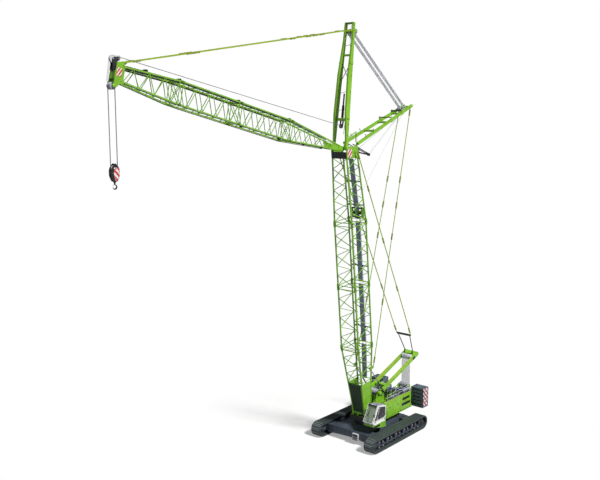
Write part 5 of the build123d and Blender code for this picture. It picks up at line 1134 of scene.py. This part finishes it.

# pin covers of the boom foot and the mast, slewing drives, a dark front plate painted as shade under the boom foot, and
# hoses
s = Shape()
for side in SIDES:
    s.turn(1.636, side * 0.952, 1.97, side, [(0, 0.15), (0.03, 0.15), (0.04, 0.1), (0.06, 0.1), (0.065, 0.06)])
    s.bolt_ring(1.636, side * 0.982, 1.97, side, 6, 0.125, 0.014, 0.014)
    s.turn(-0.55, side * 0.588, 3.95, -side, [(0, 0.12), (0.03, 0.12), (0.04, 0.09)], 20)
s.mark = 1
for x, y in ((0.55, 0.55), (0.55, -0.55), (-0.9, 0.6), (-0.9, -0.6)):
    s.lathe((x, y, 2.04), UP, [(0, 0.24), (0.12, 0.24), (0.14, 0.18), (0.5, 0.16), (0.52, 0.12), (0.78, 0.12),
                               (0.8, 0.08)])
s.mark = 0
# dark plate in front of the frame: painted shade under the boom foot
s.box(1.93, 1.96, -1.02, 1.02, 1.62, 2.12, 0.01)
s.hose([(0.6, 0.2, 2.1), (0.9, 0.25, 2.4), (1.15, 0.3, 2.3), (1.35, 0.35, 2.5)], 0.03)
s.hose([(0.6, 0.0, 2.1), (0.9, 0.05, 2.45), (1.15, 0.1, 2.35), (1.35, 0.2, 2.6)], 0.03)
piece("slewing_drives", s, "upper", "machinery_paint", "black_paint", "machinery_paint")

# ------------------------ counterweights
TRAY, SLAB, SLABS = 1.93, 0.37, 5
TOP = TRAY + SLABS * SLAB
s = Shape()
for side in SIDES:
    for k in range(SLABS):
        z = TRAY + SLAB * k
        s.mark = 1
        s.box(-5.6, -4.68, *pair(side, 3.1205, 3.128), z + 0.05, z + 0.32)
        s.mark = 0
        for y in (1.8, 3.03):
            s.box(-4.62, -4.595, *around(side * y, 0.04), z + 0.06, z + 0.31, 0.006)
        for x in (-5.45, -4.82):
            s.turn(x, side * 3.1205, z + 0.19, side, [(0, 0.05), (0.03, 0.05), (0.035, 0.03)], 14)
    for x in (-5.35, -4.9):
        for y in (1.95, 2.9):
            s.handle(x, side * y, TOP - 0.01, 0.09, 0.11, 0.02)
    for y in (2.05, 2.8):
        s.lathe((-5.14, side * y, TOP), UP, [(0, 0.1), (0.02, 0.1), (0.025, 0.05), (0.05, 0.05)], 16)
    s.mark = 2
    for y in (1.742, 3.108):
        s.box(-4.66, -4.6, *around(side * y, 0.012), 1.94, TOP - 0.02)
piece("counterweight_fittings", s, "upper", "weight_paint", "weight_paint", "hazard_weight", "black_paint")

s = Shape()
for side in SIDES:
    for x in (-5.4, -4.85):
        s.box(*around(x, 0.06), *around(side * 1.5, 0.03), TRAY, 2.15, 0.01)
    s.plate([(-4.62, 2.3), (-4.3, 2.3), (-4.3, 3.3), (-4.42, 3.62), (-4.6, 3.62), (-4.62, 3.4)],
            *pair(side, 1.62, 1.7))
    s.box(-4.62, -4.3, *pair(side, 0.96, 1.7), 3.3, 3.42, 0.015)
for k in range(7):
    s.box(-5.6, -4.7, -1.6 + 0.5 * k, -1.55 + 0.5 * k, TRAY, 1.96)
piece("counterweight_brackets", s, "upper", "frame_paint")

# ------------------------ undercarriage
AXLE_X, AXLE_Z, TRACK_MID, WHEEL = 4.0, 0.665, 3.135, 0.4247
CHAIN_RADIUS, SHOE_PITCH = 0.61, 0.4
LOOP = 4 * AXLE_X + 2 * pi * CHAIN_RADIUS
COUNT = round(LOOP / SHOE_PITCH)
PITCH = LOOP / COUNT
FIRST_SHOE = 0.43  # how far along its pitch each shoe's middle lies
ROLLER_X, ROLLER_Z, ROLLERS = 3.3287, 0.3336, 11


def loop_point(travel):
    """A point on the shoe plates' outer face, some way round the track, and its outward direction."""
    r = CHAIN_RADIUS
    straight, half_turn, travel = 2 * AXLE_X, pi * r, travel % LOOP
    if travel < straight:
        return AXLE_X - travel, AXLE_Z + r, 0, 1
    if travel < straight + half_turn:
        t = (travel - straight) / r
        return -AXLE_X - r * sin(t), AXLE_Z + r * cos(t), -sin(t), cos(t)
    travel -= straight + half_turn
    if travel < straight:
        return travel - AXLE_X, AXLE_Z - r, 0, -1
    t = (travel - straight) / r
    return AXLE_X + r * sin(t), AXLE_Z - r * cos(t), sin(t), -cos(t)


def standing(shape, travel, along, low, high, y0, y1):
    """A block on the track, square to it: half its length, its lower and upper height and its two sides."""
    x, z, nx, nz = loop_point(travel)
    shape.plate([(x + nz * a + nx * h, z - nx * a + nz * h)
                 for a, h in ((-along, low), (along, low), (along, high), (-along, high))], y0, y1)


for side, name in ((1, "left"), (-1, "right")):
    centre = side * TRACK_MID
    # link plates on the chain, guide blocks at each pad's ends, a pale strip on each pad's outer end as a painted
    # highlight, and its two grousers, painted bright at the front as highlights
    s = Shape()
    for k in range(COUNT):
        middle = (k + FIRST_SHOE) * PITCH
        s.mark = 0
        for y in (-0.225, 0.225):
            standing(s, middle, 0.15, -0.175, -0.097, *around(centre + y, 0.022))
        s.mark = 1
        for y in (-0.505, 0.495):
            standing(s, middle, 0.11, -0.085, 0.035, *around(centre + y, 0.04))
        s.mark = 2
        # pale strip on the shoe's outer end: painted highlight
        standing(s, middle, 0.1, -0.07, 0.03, *pair(side, TRACK_MID + 0.535, TRACK_MID + 0.544))
        # grousers on the front curve take the painted highlight
        s.mark = 2 if loop_point(middle)[2] > 0.3 else 3
        for ahead in (-0.13, 0.13):
            standing(s, middle + ahead, 0.016, 0.0, 0.05, *around(centre, 0.44))
    piece("track_links_" + name, s, "undercarriage", "shoe_steel", "wheel_steel", "shoe_steel", "highlight_steel", "grouser")

    # rollers with their end collars, hub caps, painted brighter on the outer ones as highlights, and brackets
    s = Shape()
    for x in evenly(-ROLLER_X, ROLLER_X, ROLLERS):
        s.mark = 0
        s.turn(x, centre - 0.19, ROLLER_Z, 1, [(0, 0.07), (0.01, 0.092), (0.05, 0.092), (0.06, 0.078), (0.32, 0.078),
                                               (0.33, 0.092), (0.37, 0.092), (0.38, 0.07)], 20)
        # outer rollers' hub caps in bright steel: painted highlight
        s.mark = int(abs(x) > 2.2)
        s.turn(x, side * (TRACK_MID + 0.19), ROLLER_Z, side, [(0, 0.05), (0.09, 0.05), (0.1, 0.085), (0.12, 0.075)],
               16)
        s.mark = 2
        s.plate([(x + dx, z) for dx, z in ((-0.11, 0.43), (-0.09, 0.3), (-0.04, 0.262), (0.04, 0.262), (0.09, 0.3),
                                           (0.11, 0.43))], *pair(side, TRACK_MID + 0.215, TRACK_MID + 0.275))
    rollers = piece("track_rollers_" + name, s, "undercarriage", "wheel_steel",
                    "wheel_steel", "bright_steel", "undercarriage_paint")
    if side == 1:
        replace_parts(rollers, "track_rollers")

    # side frame: braces and stiffeners on the web, covers, bolts, carrier skids on top, tensioner
    s = Shape()
    back, outer = side * (TRACK_MID + 0.01), side * (TRACK_MID + 0.31)
    reach = AXLE_X - WHEEL - 0.09
    bay = 2 * reach / 5
    for k in range(5):
        x0 = -reach + k * bay
        x1, mid = x0 + bay, x0 + bay / 2
        s.mark = 0
        for low, high in ((0.5, 0.96), (0.96, 0.5)):
            s.bar((x0 + 0.08, back, low), (x1 - 0.08, back, high), 0.05, 0.07)
        s.box(*around(mid, 0.05), *pair(side, TRACK_MID + 0.01, TRACK_MID + 0.26), 0.49, 0.97, 0.01)
        s.mark = 1
        y = side * (TRACK_MID + 0.02)
        s.turn(mid + 0.3, y, 0.73, side, [(0, 0.13), (0.08, 0.13), (0.1, 0.1), (0.17, 0.1), (0.18, 0.06)], 20)
        s.turn(mid - 0.3, y, 0.66, side, [(0, 0.09), (0.12, 0.09), (0.14, 0.06)], 18)
        s.mark = 0
        for dx in (-0.52, -0.36, 0.36, 0.52):
            for z in (0.455, 1.0):
                s.bolt((mid + dx, outer, z), (0, side, 0), 0.018, 0.016)
        for x in around(mid, 0.34):
            s.box(*around(x, 0.15), *pair(side, TRACK_MID - 0.16, TRACK_MID + 0.27), 1.03, 1.085, 0.015)
    for end in (-1, 1):
        s.plate([(end * 3.5, 0.57), (end * 4.08, 0.57), (end * 4.13, AXLE_Z), (end * 4.08, 0.76), (end * 3.5, 0.76)],
                *pair(side, TRACK_MID + 0.31, TRACK_MID + 0.335))
    piece("side_frame_fittings_" + name, s, "undercarriage", "undercarriage_paint", "black_paint", "bright_steel")

    # final drive on the sprocket, the idler's hub, and worn tooth roots
    s = Shape()
    for out in SIDES:
        face, way = side * (TRACK_MID + out * 0.19), side * out
        for x, profile, count, ring, proud, radius, tall in (
                (-AXLE_X, [(0, 0.33), (0.02, 0.33), (0.03, 0.29), (0.09, 0.27), (0.1, 0.22), (0.2, 0.2), (0.215, 0.14),
                           (0.23, 0.13)], 14, 0.25, 0.085, 0.016, 0.02),
                (AXLE_X, [(0, 0.36), (0.012, 0.36), (0.02, 0.33), (0.03, 0.2), (0.1, 0.16), (0.14, 0.15), (0.15, 0.09)],
                 8, 0.12, 0.15, 0.012, 0.014)):
            s.mark = 0
            s.turn(x, face, AXLE_Z, way, profile, 32)
            s.mark = 1
            s.bolt_ring(x, face + way * proud, AXLE_Z, way, count, ring, radius, tall)
    for t in circle(16, 0.375):
        x, z = 0.4 * cos(t) - AXLE_X, AXLE_Z + 0.4 * sin(t)
        s.plate([(x + 0.03 * cos(t + a), z + 0.03 * sin(t + a)) for a in (0.8, 2.4, 3.9, 5.5)],
                *pair(side, TRACK_MID + 0.1905, TRACK_MID + 0.205))
    piece("drive_hubs_" + name, s, "undercarriage", "wheel_steel", "wheel_steel", "bright_steel")

# car body: bolt rings, deck plates, lifting eyes, stiffeners, hoses to the drives, and the step's treads
DECK_LOW = 1.18
s = Shape()
for t in circle(44):
    s.bolt((1.455 * cos(t), 1.455 * sin(t), 1.48), UP, 0.022, 0.03)
    s.bolt((1.54 * cos(t), 1.54 * sin(t), DECK_LOW), UP, 0.024, 0.03)
s.lathe((0, 0, DECK_LOW), UP, [(0, 1.62), (0.02, 1.62), (0.025, 1.5)], 64)
s.mark = 1
for x0, x1, y0, y1 in ((2.5, 3.3, -1.6, -0.5), (2.5, 3.3, 0.5, 1.6), (-3.3, -2.5, -1.6, -0.5),
                       (-3.3, -2.5, 0.5, 1.6), (1.75, 2.3, -0.5, 0.5), (-2.3, -1.75, -0.5, 0.5)):
    s.box(x0, x1, y0, y1, DECK_LOW, 1.192, 0.003)
    for x in (x0 + 0.06, x1 - 0.06):
        for y in (y0 + 0.06, y1 - 0.06):
            s.bolt((x, y, 1.192), UP, 0.014, 0.01)
s.mark = 0
for x in (-3.2, 3.2):
    for y in (-1.75, 1.75):
        s.handle(x, y, 1.17, 0.1, 0.1, 0.025)
for side in SIDES:
    for end in SIDES:
        for y in (2.05, 2.3, 2.5):
            s.box(*pair(end, 3.4, 3.415), *around(side * y, 0.02), 0.55, 1.0)
        for k in range(5):
            s.bolt((end * 3.4, side * 1.9, 0.6 + 0.1 * k), (end, 0, 0), 0.02, 0.02)
        s.box(*pair(end, 2.45, 3.3), *pair(side, 1.95, 2.1), 1.14, 1.17, 0.01)
    s.hose([(-2.0, side * 1.2, 1.2), (-2.6, side * 1.9, 1.19), (-3.3, side * 2.3, 1.12), (-3.6, side * 2.8, 0.9)], 0.03)
    s.hose([(-1.9, side * 1.1, 1.2), (-2.5, side * 1.8, 1.2), (-3.25, side * 2.2, 1.13), (-3.6, side * 2.75, 0.85)],
           0.03)
for y in (-1.5, -1.0, -0.5, 0.0, 1.5):
    s.box(3.4, 3.412, *around(y, 0.012), 0.62, 1.14)
s.mark = 2
for z in (0.44, 0.74, 1.04):
    for y in evenly(0.56, 1.04, 9):
        s.box(3.41, 3.585, y, y + 0.015, z, z + 0.012)
piece("car_body_fittings", s, "undercarriage", "undercarriage_paint", "black_paint", "undercarriage_paint",
      "pale_paint")
